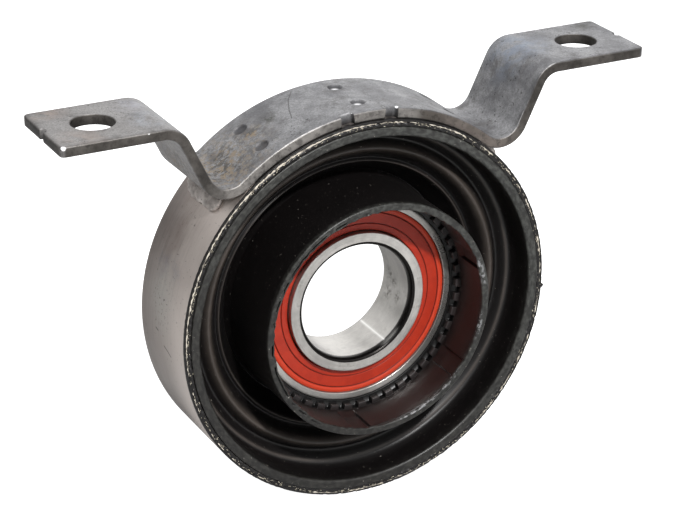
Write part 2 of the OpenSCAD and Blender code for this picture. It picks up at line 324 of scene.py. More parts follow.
def either(tree, masks):
    """The largest of several masks: what lies in any of them."""
    largest = 0.0
    for each in masks:
        largest = calc(tree, "MAXIMUM", largest, each)
    return largest


def ramp(tree, value, start, rise):
    """A value of 0 to 1 as a number from start to start plus rise."""
    return calc(tree, "ADD", start, times(tree, value, rise))


def average(tree, first, second):
    """Half of each of two values."""
    return calc(tree, "ADD", times(tree, first, 0.5), times(tree, second, 0.5))


def mask(tree, value, low, high):
    """0 at low, 1 at high, smooth between, and level beyond both."""
    made = add_node(tree, "ShaderNodeMapRange", {"interpolation_type": "SMOOTHSTEP"},
                    Value=value, From_Min=low, From_Max=high)
    return made.outputs["Result"]


def zone(tree, value, start, stop):
    """0 at one place on an axis and 1 at another, both in millimetres, smooth between."""
    return mask(tree, value, start * MM, stop * MM)


def noise(tree, vector, scale, detail, roughness):
    """Noise value at a scale in features per metre."""
    made = add_node(tree, "ShaderNodeTexNoise", Vector=vector, Scale=scale, Detail=detail,
                    Roughness=roughness)
    return made.outputs["Fac"]


def patches(tree, vector, scale, detail, roughness, low, high):
    """Uneven patches: noise, with the levels where they begin and where they are full."""
    return mask(tree, noise(tree, vector, scale, detail, roughness), low, high)


def tint(tree, share, under, over, strength=1.0):
    """Lays one colour over another by a share of 0 to 1 times the strength. Triples are screen colours."""
    if strength < 1:
        share = times(tree, share, strength)
    made = add_node(tree, "ShaderNodeMix", {"data_type": "RGBA"})
    connect(tree, share, made.inputs[0])
    for colour, socket in ((under, made.inputs[6]), (over, made.inputs[7])):
        connect(tree, srgb(*colour) if isinstance(colour, tuple) else colour, socket)
    return made.outputs[2]


def blotched(tree, skin, deep, fair):
    """Two tones of one colour, by the blotches of the weathering."""
    return tint(tree, skin["Blotch"], deep, fair)


def coats(tree, colour, *layers):
    """Lays coats over a colour one after the other, each by its mask, its colour and its strength."""
    for share, over, strength in layers:
        colour = tint(tree, share, colour, over, strength)
    return colour


def spot(tree, point, middle, reach):
    """1 at a place given in millimetres, smoothly down to 0 at the reach."""
    distance = vector_calc(tree, "DISTANCE", point, tuple(np.array(middle) * MM))["Value"]
    return zone(tree, distance, reach, 0)


def stroke(tree, point, start, stop, half_width):
    """1 on the straight line between two places in millimetres, 0 from half a width away."""
    first = np.array(start) * MM
    run = np.array(stop) * MM - first
    length = np.linalg.norm(run)
    offset = vector_calc(tree, "SUBTRACT", point, tuple(first))["Vector"]
    along = vector_calc(tree, "DOT_PRODUCT", offset, tuple(run / length))["Value"]
    along = calc(tree, "MINIMUM", calc(tree, "MAXIMUM", along, 0.0), length)
    made = add_node(tree, "ShaderNodeVectorMath", {"operation": "SCALE"}, Scale=along)
    made.inputs[0].default_value = tuple(run / length)
    distance = vector_calc(tree, "DISTANCE", offset, made.outputs["Vector"])["Value"]
    return zone(tree, distance, half_width, 0)


def strokes(tree, point, lines, half_width):
    """1 on any of the lines, each of which runs straight from place to place."""
    runs = [run for line in lines for run in zip(line, line[1:])]
    return either(tree, [stroke(tree, point, start, stop, half_width) for start, stop in runs])


def painted(tree, name):
    """The number that a piece carries under this name."""
    return add_node(tree, "ShaderNodeAttribute", {"attribute_name": name}).outputs["Fac"]


def place(tree):
    """The point's own place on the piece, in metres."""
    return add_node(tree, "ShaderNodeTexCoord").outputs["Object"]


def axes(tree, point):
    """A place as its X, Y and Z."""
    return add_node(tree, "ShaderNodeSeparateXYZ", Vector=point).outputs


def bumped(tree, height, depth, strength):
    """A normal from a height of 0 to 1 that stands for a depth in millimetres."""
    return add_node(tree, "ShaderNodeBump", Height=height, Distance=depth * MM, Strength=strength).outputs[0]


def start_group(name, inputs, outputs):
    """An empty group with number sockets, its input node and its output node."""
    tree = bpy.data.node_groups.new(name, "ShaderNodeTree")
    for label, value in inputs.items():
        tree.interface.new_socket(label, in_out="INPUT", socket_type="NodeSocketFloat").default_value = value
    for label in outputs:
        tree.interface.new_socket(label, in_out="OUTPUT", socket_type="NodeSocketFloat")
    return tree, tree.nodes.new("NodeGroupInput").outputs, tree.nodes.new("NodeGroupOutput").inputs


def use_group(tree, group, **inputs):
    """Places a group in a material with its own values, and gives its outputs."""
    made = add_node(tree, "ShaderNodeGroup", {"node_tree": group}, **inputs)
    return made.outputs


def start_material(name, **values):
    """A material's tree and its Principled shader, with the values that are the same all over."""
    material = bpy.data.materials.new(name)
    material.use_nodes = True
    shader = material.node_tree.nodes["Principled BSDF"]
    for key, value in values.items():
        shader.inputs[key.replace("_", " ")].default_value = value
    return material, material.node_tree, shader.inputs


def dress(tree, shader, **looks):
    """Joins colours, numbers and normals to the shader's inputs, named as for a node."""
    for key, value in looks.items():
        connect(tree, value, shader[key.replace("_", " ")])


print("screen grey 128 is", round(srgb(128, 128, 128)[0], 3), "to a shader")

# %% Shared effects
LARGE_BLOTCH_SHARE = 0.65
SMALL_BLOTCH_SCALE = 4.3
SPECK_FADE = 0.05


def make_weathering():
    """Blotch: two sizes of noise added. Speck: the peaks of a finer noise. Grain: the finest."""
    values = {"Blotch Scale": 60, "Speck Scale": 500, "Speck Share": 0.3, "Grain Scale": 2500}
    tree, given, out = start_group("weathering", values, ("Blotch", "Speck", "Grain"))
    point = place(tree)
    small_scale = times(tree, given["Blotch Scale"], SMALL_BLOTCH_SCALE)
    large = noise(tree, point, given["Blotch Scale"], detail=5, roughness=0.62)
    small = noise(tree, point, small_scale, detail=4, roughness=0.6)
    large = times(tree, large, LARGE_BLOTCH_SHARE)
    small = times(tree, small, 1 - LARGE_BLOTCH_SHARE)
    blotch = mask(tree, calc(tree, "ADD", large, small), low=0.36, high=0.64)
    level = ramp(tree, given["Speck Share"], start=0.78, rise=-0.3)
    full = calc(tree, "ADD", level, SPECK_FADE)
    speck = patches(tree, point, given["Speck Scale"], detail=3, roughness=0.55, low=level, high=full)
    grain = noise(tree, point, given["Grain Scale"], detail=3, roughness=0.6)
    dress(tree, out, Blotch=blotch, Speck=speck, Grain=grain)
    return tree


def make_turning():
    """Rings: noise over radius and depth, drawn out round the shaft by a slow turn of two more axes."""
    tree, given, out = start_group("turning", {"Fineness": 3000, "Drift": 3}, ("Rings",))
    split = axes(tree, place(tree))
    squares = [times(tree, split[axis], split[axis]) for axis in "XZ"]
    radius = calc(tree, "SQRT", calc(tree, "ADD", *squares))
    across = times(tree, radius, given["Fineness"])
    along = times(tree, split["Y"], given["Fineness"])
    turn_x, turn_z = (times(tree, calc(tree, "DIVIDE", split[axis], radius), given["Drift"]) for axis in "XZ")
    vector = add_node(tree, "ShaderNodeCombineXYZ", X=across, Y=along, Z=turn_x).outputs[0]
    made = add_node(tree, "ShaderNodeTexNoise", {"noise_dimensions": "4D"}, Vector=vector, W=turn_z,
                    Scale=1.0, Detail=3.0, Roughness=0.6)
    dress(tree, out, Rings=made.outputs["Fac"])
    return tree


def make_edge_wear_and_highlight():
    """Wear: the edge mask times noise about a share, cut off at a level: bare metal and painted highlight in
    runs.
    """
    tree, given, out = start_group("edge_wear_and_highlight", {"Edge": 0, "Scale": 250, "Share": 0.5}, ("Wear",))
    rough = noise(tree, place(tree), given["Scale"], detail=4, roughness=0.65)
    shifted = calc(tree, "ADD", calc(tree, "SUBTRACT", rough, 0.5), given["Share"])
    dress(tree, out, Wear=mask(tree, times(tree, given["Edge"], shifted), low=0.28, high=0.55))
    return tree


weathering = make_weathering()
turning = make_turning()
edge_wear_and_highlight = make_edge_wear_and_highlight()
print("groups", [group.name for group in bpy.data.node_groups])

# %% [markdown]
# The strap is one bent steel strip, and it carries the whole part. It could be an extruded
# outline, but a rolled strip has round edges along its whole length. So a rounded section
# is carried along the bent path: over the drum, down into a hollow bend, up the riser and
# out along the ear. The spot welds are pushed in by formula, and only the holes and
# notches are cut, by plugs that flare at both faces as a punched edge does.

# %% Strap path
ARC_POINTS = 300
STRAIGHT_POINTS = 100
strap_thick = 3.0
half_thick = strap_thick / 2
strap_half_width = strap_high[1]
strap_edge_r = 0.5
ear_end = strap_high[0]
ear_top = strap_high[2]
ear_corner_r = 1.8
ear_length = 30.0
saddle_gap = 0.05
saddle_mid_r = shell_r + saddle_gap + half_thick
saddle_top_r = saddle_mid_r + half_thick
saddle_half_angle = np.radians(39.7)
hollow_bend_r = 6.0
hollow_mid_r = hollow_bend_r + half_thick
round_bend_r = 8.0
round_mid_r = round_bend_r - half_thick
riser_angle = np.radians(64.5)


def ray(angle):
    """Unit vector at an angle from +X towards +Z."""
    return np.stack([np.cos(angle), np.sin(angle)], axis=-1)


def arc_run(centre, radius, start, stop, side):
    """Points along an arc, and the upper face's direction: out along the radius, or in for a hollow bend."""
    out = ray(np.linspace(start, stop, ARC_POINTS))
    return centre + radius * out, side * out


def straight_run(start, stop, facing):
    """Points between two ends but not on them, and the upper face's direction, which stays the same."""
    share = np.linspace(0, 1, STRAIGHT_POINTS)[1:-1, None]
    return start + share * (stop - start), np.broadcast_to(ray(facing), (len(share), 2))


def strap_half_path():
    """Middle line of the strap's right half from the top: saddle, hollow bend, riser, round bend and ear."""
    top = np.pi / 2
    leave = top - saddle_half_angle
    facing = riser_angle + top
    hollow_centre = (saddle_mid_r + hollow_mid_r) * ray(leave)
    round_z = ear_top - half_thick - round_mid_r
    riser_foot = hollow_centre + hollow_mid_r * ray(riser_angle - top)
    riser_head_z = round_z + round_mid_r * np.sin(facing)
    riser_head = riser_foot + ray(riser_angle) * (riser_head_z - riser_foot[1]) / np.sin(riser_angle)
    round_centre = riser_head - round_mid_r * ray(facing)
    ear_start = round_centre + np.array([0, round_mid_r])
    ear_stop = np.array([ear_end, ear_start[1]])
    runs = [arc_run(np.zeros(2), saddle_mid_r, top, leave, 1),
            arc_run(hollow_centre, hollow_mid_r, leave + np.pi, riser_angle - top + 2 * np.pi, -1),
            straight_run(riser_foot, riser_head, facing),
            arc_run(round_centre, round_mid_r, facing, top, 1),
            straight_run(ear_start, ear_stop, top),
            (ear_stop[None], ray(top)[None])]
    line, normal = (np.concatenate(parts) for parts in zip(*runs))
    return run_length(line), line, normal


path_length, path_line, path_normal = strap_half_path()
strap_reach = path_length[-1]
print("strap runs", round(2 * strap_reach, 1), "mm from end to end")

# %% Strap surface
LOWER_POINTS = 30
SIDE_POINTS = 3
EDGE_POINTS = 8
TOP_START = 0.8
TOP_FADE = 0.2
dimple_rows = np.radians([-29.2, 0.0, 29.2]) * saddle_mid_r
dimple_half_spacing = 6.9
dimple_r = 2.1
dimple_depth = 0.75
dimple_bluntness = 0.8
dimple_rim_height = 0.14
wave_height = 0.04
wave_lengths = (9.0, 7.0)
wave_starts = (1.3, 0.4)


def strap_section():
    """The strip's section as (across, up): a rectangle with round corners, close-set over the welds."""
    flat = strap_half_width - strap_edge_r
    rise = half_thick - strap_edge_r
    weld_lines = [-dimple_half_spacing, dimple_half_spacing]
    upper = crowded(-flat, flat, weld_lines, count=78, reach=3.0, crowd=4)
    lower = np.linspace(flat, -flat, LOWER_POINTS)
    side = np.linspace(rise, -rise, SIDE_POINTS)
    bend = np.linspace(0, np.pi / 2, EDGE_POINTS)[1:-1]
    corner = strap_edge_r * np.stack([np.sin(bend), np.cos(bend)], axis=1)
    top_run = np.stack([upper, np.full_like(upper, half_thick)], axis=1)
    low_run = np.stack([lower, np.full_like(lower, -half_thick)], axis=1)
    right = np.stack([np.full_like(side, strap_half_width), side], axis=1)
    return np.concatenate([top_run, corner + [flat, rise], right, corner[::-1] * [1, -1] + [flat, -rise],
                           low_run, corner * [-1, -1] + [-flat, -rise], right[::-1] * [-1, 1],
                           corner[::-1] * [-1, 1] + [-flat, rise]])


def corner_shrink(distance, radius):
    """How far an edge draws in near an end that is rounded by a quarter circle."""
    inside = np.clip(radius - distance, 0, radius)
    return radius - np.sqrt(radius ** 2 - inside ** 2)


def weld_dimples(along, across):
    """Depth of the spot welds: a round crater with a low raised rim at each place."""
    depth = np.zeros(np.broadcast(along, across).shape)
    for row in dimple_rows:
        for side in (-1, 1):
            reach = np.hypot(along - row, across - side * dimple_half_spacing) / dimple_r
            depth -= dimple_depth * np.clip(1 - reach ** 2, 0, 1) ** dimple_bluntness
            depth += dimple_rim_height * hill(reach, middle=1.15, reach=0.2)
    return depth


def strap_surface():
    """Section points carried along the path: path + up times the upper face's direction, across along Y."""
    ends = [-strap_reach, strap_reach]
    along = crowded(*ends, [*dimple_rows, *ends], count=430, reach=3.2, crowd=3)
    along = np.concatenate([along[:1], along, along[-1:]])[:, None]
    curves = (*path_line.T, *path_normal.T)
    x, z, face_x, face_z = (np.interp(np.abs(along), path_length, values) for values in curves)
    section_across, section_up = strap_section().T
    to_end = strap_reach - np.abs(along)
    width = 1 - corner_shrink(to_end, ear_corner_r) / strap_half_width
    thick = 1 - corner_shrink(to_end, strap_edge_r) / half_thick
    width[[0, -1]] = 0
    thick[[0, -1]] = 0
    across = width * section_across
    on_top = np.clip((section_up / half_thick - TOP_START) / TOP_FADE, 0, 1)
    up = thick * section_up + on_top * weld_dimples(along, across)
    lengthwise = np.sin(along / wave_lengths[0] + wave_starts[0])
    crosswise = np.cos(across / wave_lengths[1] + wave_starts[1])
    up = up + wave_height * np.clip(to_end / ear_length - 1, 0, 1) * lengthwise * crosswise
    return np.stack([np.sign(along) * (x + face_x * up), across, z + face_z * up], axis=-1)


strap_grid = strap_surface()
print("strap grid", strap_grid.shape)

# %% Strap cuts
HOLE_POINTS = 72
NOTCH_POINTS = 10
hole_x = mounts["ear_bolts"]["spacing_x_mm"] / 2
hole_r = mounts["ear_bolts"]["hole_r_mm"]
end_notch_r = 1.4
edge_notch_angle = np.radians(6.6)
edge_notch_half_width = 2.0
edge_notch_depth = 1.9
edge_notch_corner = 0.8
punch_flare = 0.25
punch_over = 2.0
punch_under = 0.3


def circle_outline(radius):
    """A round hole's outline, grown by the flare."""
    turn = np.linspace(0, 2 * np.pi, HOLE_POINTS, endpoint=False)
    return lambda grow: (radius + grow) * ray(turn)


def notch_outline(half_width, bottom, corner, open_end):
    """A notch that is open at one end: two straight sides and a flat bottom with round corners."""
    quarter = np.linspace(0, np.pi / 2, NOTCH_POINTS)

    def outline(grow):
        half = half_width + grow
        right = corner * ray(quarter) + [half - corner, bottom + grow - corner]
        left = right[::-1] * [-1, 1]
        return np.concatenate([[[half, open_end]], right, left, [[-half, open_end]]])

    return outline


def plug(outline, low, high, origin, across, up):
    """A cutter: the outline at each level, wider by the flare at both faces and closed at both ends."""
    levels = [(low - punch_over, punch_flare, 0), (low - punch_over, punch_flare, 1), (low, punch_flare, 1),
              (low + punch_flare, 0, 1), (high - punch_flare, 0, 1), (high, punch_flare, 1),
              (high + punch_over, punch_flare, 1), (high + punch_over, punch_flare, 0)]
    rows = []
    for height, grow, spread in levels:
        ring = outline(grow)
        ring = ring.mean(axis=0) + spread * (ring - ring.mean(axis=0))
        rows.append(origin + ring[:, :1] * across + ring[:, 1:] * np.array([0, 1, 0]) + height * up)
    return np.stack(rows), False, True


def strap_plugs():
    """Bolt holes and end notches through both ears, and two notches in the front edge over the drum."""
    east = np.array([1.0, 0, 0])
    sky = np.array([0, 0, 1.0])
    ear_low = ear_top - strap_thick
    saddle_low_r = saddle_mid_r - half_thick
    slot_low = saddle_low_r - punch_under
    slot = notch_outline(edge_notch_half_width, edge_notch_depth - strap_half_width, edge_notch_corner,
                         -strap_half_width - punch_over)
    plugs = []
    for side in (-1, 1):
        for x, radius in ((hole_x, hole_r), (ear_end, end_notch_r)):
            plugs.append(plug(circle_outline(radius), ear_low, ear_top, side * x * east, east, sky))
        turn = side * edge_notch_angle
        out = np.array([np.sin(turn), 0, np.cos(turn)])
        along = np.array([np.cos(turn), 0, -np.sin(turn)])
        plugs.append(plug(slot, slot_low, saddle_low_r + strap_thick, np.zeros(3), along, out))
    return plugs


def cut(piece, cutter):
    """Takes the cutter out of the piece and keeps the result as its mesh."""
    change = piece.modifiers.new("punch", "BOOLEAN")
    change.operation = "DIFFERENCE"
    change.solver = "EXACT"
    change.object = cutter
    done = bpy.data.meshes.new_from_object(piece.evaluated_get(bpy.context.evaluated_depsgraph_get()))
    piece.modifiers.clear()
    piece.data = done
    bpy.data.objects.remove(cutter)


hanger_strap = mesh_piece("hanger_strap_skin", [(strap_grid, False, True)])
close_poles(hanger_strap)
punches = mesh_piece("punches", strap_plugs())
close_poles(punches)
cut(hanger_strap, punches)
hanger_strap.data.set_sharp_from_angle(angle=SHARP_ANGLE)
print("strap after cutting", len(hanger_strap.data.polygons), "faces")

# %% Strap masks
# Runs along X where the front edge is worn bare and carries a painted highlight.
WORN_AND_LIT_RUNS = ((-41, -7), (45, 53), (56, 63))
RUN_FADE = 2.0
RESTING_WEAR = 0.3
HOLE_WEAR = 0.4
NOTCH_WEAR = 0.8
CUT_FACE_REACH = 0.35
EDGE_SHADE_REACH = 1.7
EDGE_SHADE_SHARE = 0.45
LEFT_EAR_INSIDE = 12
DIMPLE_EDGE = 1.35
SADDLE_SKIN = 1.2
SADDLE_SKIN_REACH = 1.0
UPPER_EDGE = 0.3
HOLE_WALL = 0.3
HOLE_DARKNESS = 0.7
END_WALL = 0.2
END_DARKNESS = 0.75
NOTCH_WALL = 0.15

strap_at = mesh_points(hanger_strap)
strap_x, strap_y, strap_z = strap_at.T
strap_radius = shaft_radius(strap_at)
strap_arc = shaft_turn(strap_at) * saddle_mid_r
to_side = strap_half_width - np.abs(strap_y)
to_hole = np.abs(np.hypot(np.abs(strap_x) - hole_x, strap_y) - hole_r)
to_end = ear_end - np.abs(strap_x)
from_notch = np.abs(np.abs(strap_arc) - edge_notch_angle * saddle_mid_r) - edge_notch_half_width
in_notch = (from_notch < NOTCH_WALL) & (strap_y < edge_notch_depth + NOTCH_WALL - strap_half_width)


def pocket_shades():
    """Painted shade: 1 low in the front notches, and a set darkness on the walls of the holes and end notches
    below their upper edge.
    """
    low_share = np.clip((saddle_top_r - UPPER_EDGE - strap_radius) / strap_thick, 0, 1)
    below = strap_z < ear_top - UPPER_EDGE
    in_hole = (to_hole < HOLE_WALL) & below & (np.abs(strap_x) > hole_x - 2 * hole_r)
    in_end = (np.hypot(to_end, strap_y) < end_notch_r + END_WALL) & below
    return in_notch * low_share + HOLE_DARKNESS * in_hole + END_DARKNESS * in_end


def cut_faces():
    """1 on the sides, ends and hole walls, down to 0 over the reach, and painted shade by the left ear's
    edges.
    """
    faces = sum(np.clip(1 - distance / CUT_FACE_REACH, 0, 1) for distance in (to_side, to_hole, to_end))
    on_left_ear = strap_x < LEFT_EAR_INSIDE - hole_x
    nearest = np.minimum(to_side, to_end)
    # Painted shade on the left ear's top, near its edges, in the cut sides' dark tones.
    edge_shade = EDGE_SHADE_SHARE * on_left_ear * np.clip(1 - nearest / EDGE_SHADE_REACH, 0, 1)
    return np.clip(np.maximum(faces, edge_shade), 0, 1)


def worn_and_lit_edges():
    """Bare wear and painted highlight: hills by the long edges, full on the worn runs in front, weaker at
    holes and notches.
    """
    worn = sum(window(strap_x, low, high, RUN_FADE) for low, high in WORN_AND_LIT_RUNS) * (strap_y < 0)
    sides = hill(to_side, middle=0.25, reach=0.15) * (RESTING_WEAR + (1 - RESTING_WEAR) * worn)
    holes = HOLE_WEAR * hill(to_hole, middle=0.5, reach=0.25)
    notches = NOTCH_WEAR * in_notch * (strap_radius > saddle_top_r - UPPER_EDGE)
    return np.clip(np.maximum(sides + holes, notches), 0, 1)


def dimple_floors():
    """0 outside a spot weld's rim, rising evenly to its middle, on the upper face only."""
    on_saddle = np.abs(strap_radius - saddle_mid_r - SADDLE_SKIN) < SADDLE_SKIN_REACH
    floors = np.zeros(len(strap_at))
    for row in dimple_rows:
        reach = np.hypot(strap_arc - row, np.abs(strap_y) - dimple_half_spacing) / dimple_r
        floors = np.maximum(floors, np.clip(DIMPLE_EDGE - reach, 0, DIMPLE_EDGE) * on_saddle)
    return floors


strap_masks = {"pocket": pocket_shades(), "cut_face": cut_faces(), "edge": worn_and_lit_edges(), "dimple": dimple_floors()}
for name, values in strap_masks.items():
    paint(hanger_strap, name, values)
print("painted", list(strap_masks))

# %% Marks and painted highlights on the strap
HEAT_TINTS = (((57, 4, 64), 15, (146, 156, 172)), ((-61, -4, 65.2), 9, (176, 182, 192)),
              ((-62, 8, 65.2), 7, (186, 186, 196)), ((-85, 12, 65.2), 9, (158, 143, 134)),
              ((-82, -10, 65.2), 10, (162, 150, 143)))
# Painted highlights: small white spots at the left ear's corner and front edge and at the notch edges.
STRAP_HIGHLIGHTS = (((-89.3, -14.1, 64.9), 1.15), ((-65.4, -14.7, 65.0), 0.8),
          ((-7.9, -12.9, 60.0), 0.7), ((-5.2, -12.9, 60.3), 0.5), ((8.9, -13.0, 59.9), 0.9))
STAINS = (((-41, -2, 47), 24), ((-28.5, 1.5, 53.4), 6))
DARK_CORNER = ((85, 11.5, 65.2), 6.5)
WELD_SMUDGE = ((-22.5, 3.6, 56.2), 5.5)
CREASE_LINE = ((-11.3, 11.8, 59.5), (-14.2, 7.8, 58.9), (-16.7, 2.1, 58.2), (-18.3, -2.9, 57.7))
SCRATCH_LINE = ((18.9, -5.7, 57.5), (29.5, -1.3, 52.9), (26.0, -0.2, 54.7), (21.5, -1.6, 56.6))
REAR_LINE = ((-26.0, 14.3, 54.7), (-21.0, 14.4, 56.8), (-15.5, 14.4, 58.5))
# A dark line along the saddle's top, just in from its front edge.
FRONT_LINE_TURNS = np.radians(np.linspace(23, 38, 4))
FRONT_LINE_INSET = 1.5
LINE_HALF_WIDTH = 0.28
front_edge_line = round_shaft(saddle_top_r, FRONT_LINE_TURNS, FRONT_LINE_INSET - strap_half_width)


def strap_marks(tree, point):
    """Masks of single marks: stains by the left bend, a dark corner and smudge, creases, scratches and dark
    lines by the front and rear edges.
    """
    rough = patches(tree, point, scale=800, detail=5, roughness=0.75, low=0.42, high=0.56)
    stain = times(tree, either(tree, [spot(tree, point, *where) for where in STAINS]), rough)
    smeared = patches(tree, point, scale=420, detail=4, roughness=0.65, low=0.36, high=0.56)
    smudge = times(tree, spot(tree, point, *WELD_SMUDGE), smeared)
    dark = either(tree, [spot(tree, point, *DARK_CORNER), smudge])
    lines = (CREASE_LINE, SCRATCH_LINE, front_edge_line, REAR_LINE)
    return stain, dark, strokes(tree, point, lines, LINE_HALF_WIDTH)


print("strap carries", len(HEAT_TINTS), "heat tints and", len(STRAP_HIGHLIGHTS), "glints")

# %% Strap finish
WARM_RUN = (-30, -75)
PAST_NOTCH_RUNS = ((12, 18), (28, 22))
RIGHT_RUN = (18, 26)
EAR_RUN = (38, 50)
# The painted highlight in the dimple floors shows only to the right of this run along X.
PIT_HIGHLIGHT_RUN = (-12, -8)


def strap_grey(tree, point, skin):
    """Blotched grey, warmer to the left, under a fine grain, smears and the colours of heat."""
    on_left = zone(tree, axes(tree, point)["X"], *WARM_RUN)
    grain = mask(tree, skin["Grain"], low=0.38, high=0.62)
    smear = patches(tree, point, scale=130, detail=6, roughness=0.72, low=0.5, high=0.66)
    patchy = patches(tree, point, scale=190, detail=5, roughness=0.7, low=0.38, high=0.62)
    heat = [(times(tree, spot(tree, point, *where), patchy), colour, 0.7) for *where, colour in HEAT_TINTS]
    return coats(tree, blotched(tree, skin, (122, 122, 125), (170, 170, 172)),
                 (on_left, (164, 158, 152), 0.4), (grain, (96, 95, 96), 0.35),
                 (smear, (86, 83, 82), 0.55), *heat)


def strap_side(tree, point, skin):
    """The cut sides: browner, darker past the right notch and darkest along the ears, with mottles."""
    x = axes(tree, point)["X"]
    past_notch = times(tree, *(zone(tree, x, *run) for run in PAST_NOTCH_RUNS))
    on_right = zone(tree, x, *RIGHT_RUN)
    on_ears = zone(tree, calc(tree, "ABSOLUTE", x), *EAR_RUN)
    mottles = patches(tree, point, scale=480, detail=6, roughness=0.75, low=0.5, high=0.62)
    return coats(tree, blotched(tree, skin, (104, 101, 98), (148, 144, 140)), (past_notch, (88, 83, 78), 1),
                 (on_right, blotched(tree, skin, (84, 78, 74), (120, 112, 106)), 1),
                 (on_ears, blotched(tree, skin, (62, 59, 56), (98, 94, 90)), 1), (mottles, (46, 43, 41), 0.5))


def make_strap_steel():
    """Rolled steel: grey with single marks and gathered specks, dark cut sides, worn edges with a painted
    highlight, painted shade in pits and pockets, and a few painted highlights.
    """
    material, tree, shader = start_material("strap_steel_look", Specular_IOR_Level=0.5)
    skin = use_group(tree, weathering, Blotch_Scale=75, Speck_Scale=1000, Speck_Share=0.52, Grain_Scale=1900)
    point = place(tree)
    stain, dark, crease = strap_marks(tree, point)
    flecks = patches(tree, point, scale=500, detail=3, roughness=0.6, low=0.45, high=0.55)
    rust = tint(tree, flecks, (72, 68, 63), (134, 119, 98))
    gathered = patches(tree, point, scale=50, detail=2, roughness=0.5, low=0.42, high=0.6)
    specks = times(tree, skin["Speck"], ramp(tree, gathered, start=0.15, rise=1.0))
    broken = patches(tree, point, scale=300, detail=4, roughness=0.7, low=0.36, high=0.55)
    # Painted shade on the weld dimples' rims, and a painted, non-metal highlight on the floors of the middle
    # and right rows.
    pit_shade = mask(tree, painted(tree, "dimple"), low=0.25, high=0.55)
    pit_floor = mask(tree, painted(tree, "dimple"), low=0.7, high=1.1)
    pit_highlight = times(tree, pit_floor, zone(tree, axes(tree, point)["X"], *PIT_HIGHLIGHT_RUN))
    # Worn edges: bare metal and a painted highlight along the edges, in broken runs.
    wear_and_highlight = use_group(tree, edge_wear_and_highlight, Edge=painted(tree, "edge"), Scale=260, Share=0.45)["Wear"]
    # Painted highlights: white, non-metal spots where the lamp's reflection falls.
    strap_highlight = either(tree, [mask(tree, spot(tree, point, *where), low=0.1, high=0.5) for where in STRAP_HIGHLIGHTS])
    # In the coats below, the pocket mask lays painted shade, nearly black, in the notches and holes.
    steel = coats(tree, strap_grey(tree, point, skin), (stain, rust, 1), (specks, (54, 52, 52), 0.7),
                  (times(tree, dark, broken), (66, 66, 58), 0.8), (crease, (58, 56, 56), 0.7),
                  (pit_shade, (72, 71, 74), 0.7), (pit_highlight, (222, 222, 224), 1),
                  (painted(tree, "cut_face"), strap_side(tree, point, skin), 1),
                  (painted(tree, "pocket"), (30, 29, 29), 1), (wear_and_highlight, (226, 226, 226), 0.8),
                  (strap_highlight, (252, 252, 252), 1))
    metallic = ramp(tree, either(tree, [stain, pit_highlight]), start=0.85, rise=-0.5)
    rough = ramp(tree, skin["Grain"], start=0.4, rise=0.16)
    dress(tree, shader, Base_Color=steel,
          Metallic=times(tree, metallic, ramp(tree, strap_highlight, start=1.0, rise=-1.0)),
          Roughness=ramp(tree, skin["Blotch"], start=rough, rise=0.06),
          Normal=bumped(tree, average(tree, skin["Grain"], skin["Blotch"]), depth=0.07, strength=0.6))
    return material


settle(hanger_strap, "housing", make_strap_steel(), "strap_steel", "hanger_strap")

# %% [markdown]
# The drum is a rolled steel ring. Its front edge shows how it was made: rubber squeezed out
# over the steel in the mould, was trimmed, and left a broken black film with bare bright
# steel between. The ring is turned from a rounded outline. The film is a ring of its own,
# whose width and height wander, because a flat paint line would look drawn on.

# %% Drum
RIM_DEPTH = 0.5
RIM_FADE = 0.4
shell_thick = 2.0
shell_inner_r = shell_r - shell_thick
shell_front = shell_low[1]
shell_rear = shell_high[1]
shell_corners = [(shell_r, shell_front), (shell_r, shell_rear), (shell_inner_r, shell_rear),
                 (shell_inner_r, shell_front)]
shell_outline = rounded_outline(shell_corners, radii=[0.45, 0.45, 0.3, 0.3], step=1.1)
outer_shell = mesh_piece("outer_shell_skin", [turned(shell_outline, turns=480)])
shell_y = mesh_points(outer_shell)[:, 1]
paint(outer_shell, "rim", np.clip((shell_front + RIM_DEPTH - shell_y) / RIM_FADE, 0, 1))
print("drum outline has", len(shell_outline), "points")

# %% Marks on the drum
DRUM_SCRATCHES = (((-57.3, -0.6, -4.3), (-57.3, -3.1, -5.1), (-57.2, -4.9, -5.9)),
                  ((-57.5, 4.5, -0.6), (-57.5, 3.1, -0.9)))
SCRATCH_HALF_WIDTH = 0.42
PITTED_PLACE = ((-56.7, 0.0, 8.0), 10)
film_start_r = shell_r - 0.42
film_full_r = shell_r - 0.3
film_end = shell_front + 0.95
film_full_end = shell_front + 0.75
film_ragged = 0.6
strap_shadow_width = 0.7
STRAP_SHADOW_RUN = (43, 47)


def film_and_strap_shadow(tree, point):
    """Mask of the black film over the drum's outer edge: narrow, widened under the strap by a painted shadow.
    """
    split = axes(tree, point)
    flat = vector_calc(tree, "MULTIPLY", point, (1, 0, 1))["Vector"]
    outside = zone(tree, vector_calc(tree, "LENGTH", flat)["Value"], film_start_r, film_full_r)
    ragged = times(tree, noise(tree, point, scale=700, detail=3, roughness=0.6), film_ragged * MM)
    # Painted shadow of the strap: the dark band reaches further back where the strap lies over the drum.
    wide = times(tree, zone(tree, split["Z"], *STRAP_SHADOW_RUN), strap_shadow_width * MM)
    depth = calc(tree, "SUBTRACT", calc(tree, "ADD", split["Y"], ragged), wide)
    return times(tree, outside, zone(tree, depth, film_end, film_full_end))


def drum_scratches(tree, point):
    """Mask of the drum's few scratches on the left, and of the small dark pits that gather above them."""
    pits = patches(tree, point, scale=1100, detail=2, roughness=0.5, low=0.6, high=0.68)
    pitted = times(tree, spot(tree, point, *PITTED_PLACE), pits)
    return either(tree, [strokes(tree, point, DRUM_SCRATCHES, SCRATCH_HALF_WIDTH), pitted])


print("drum carries", len(DRUM_SCRATCHES), "scratches")

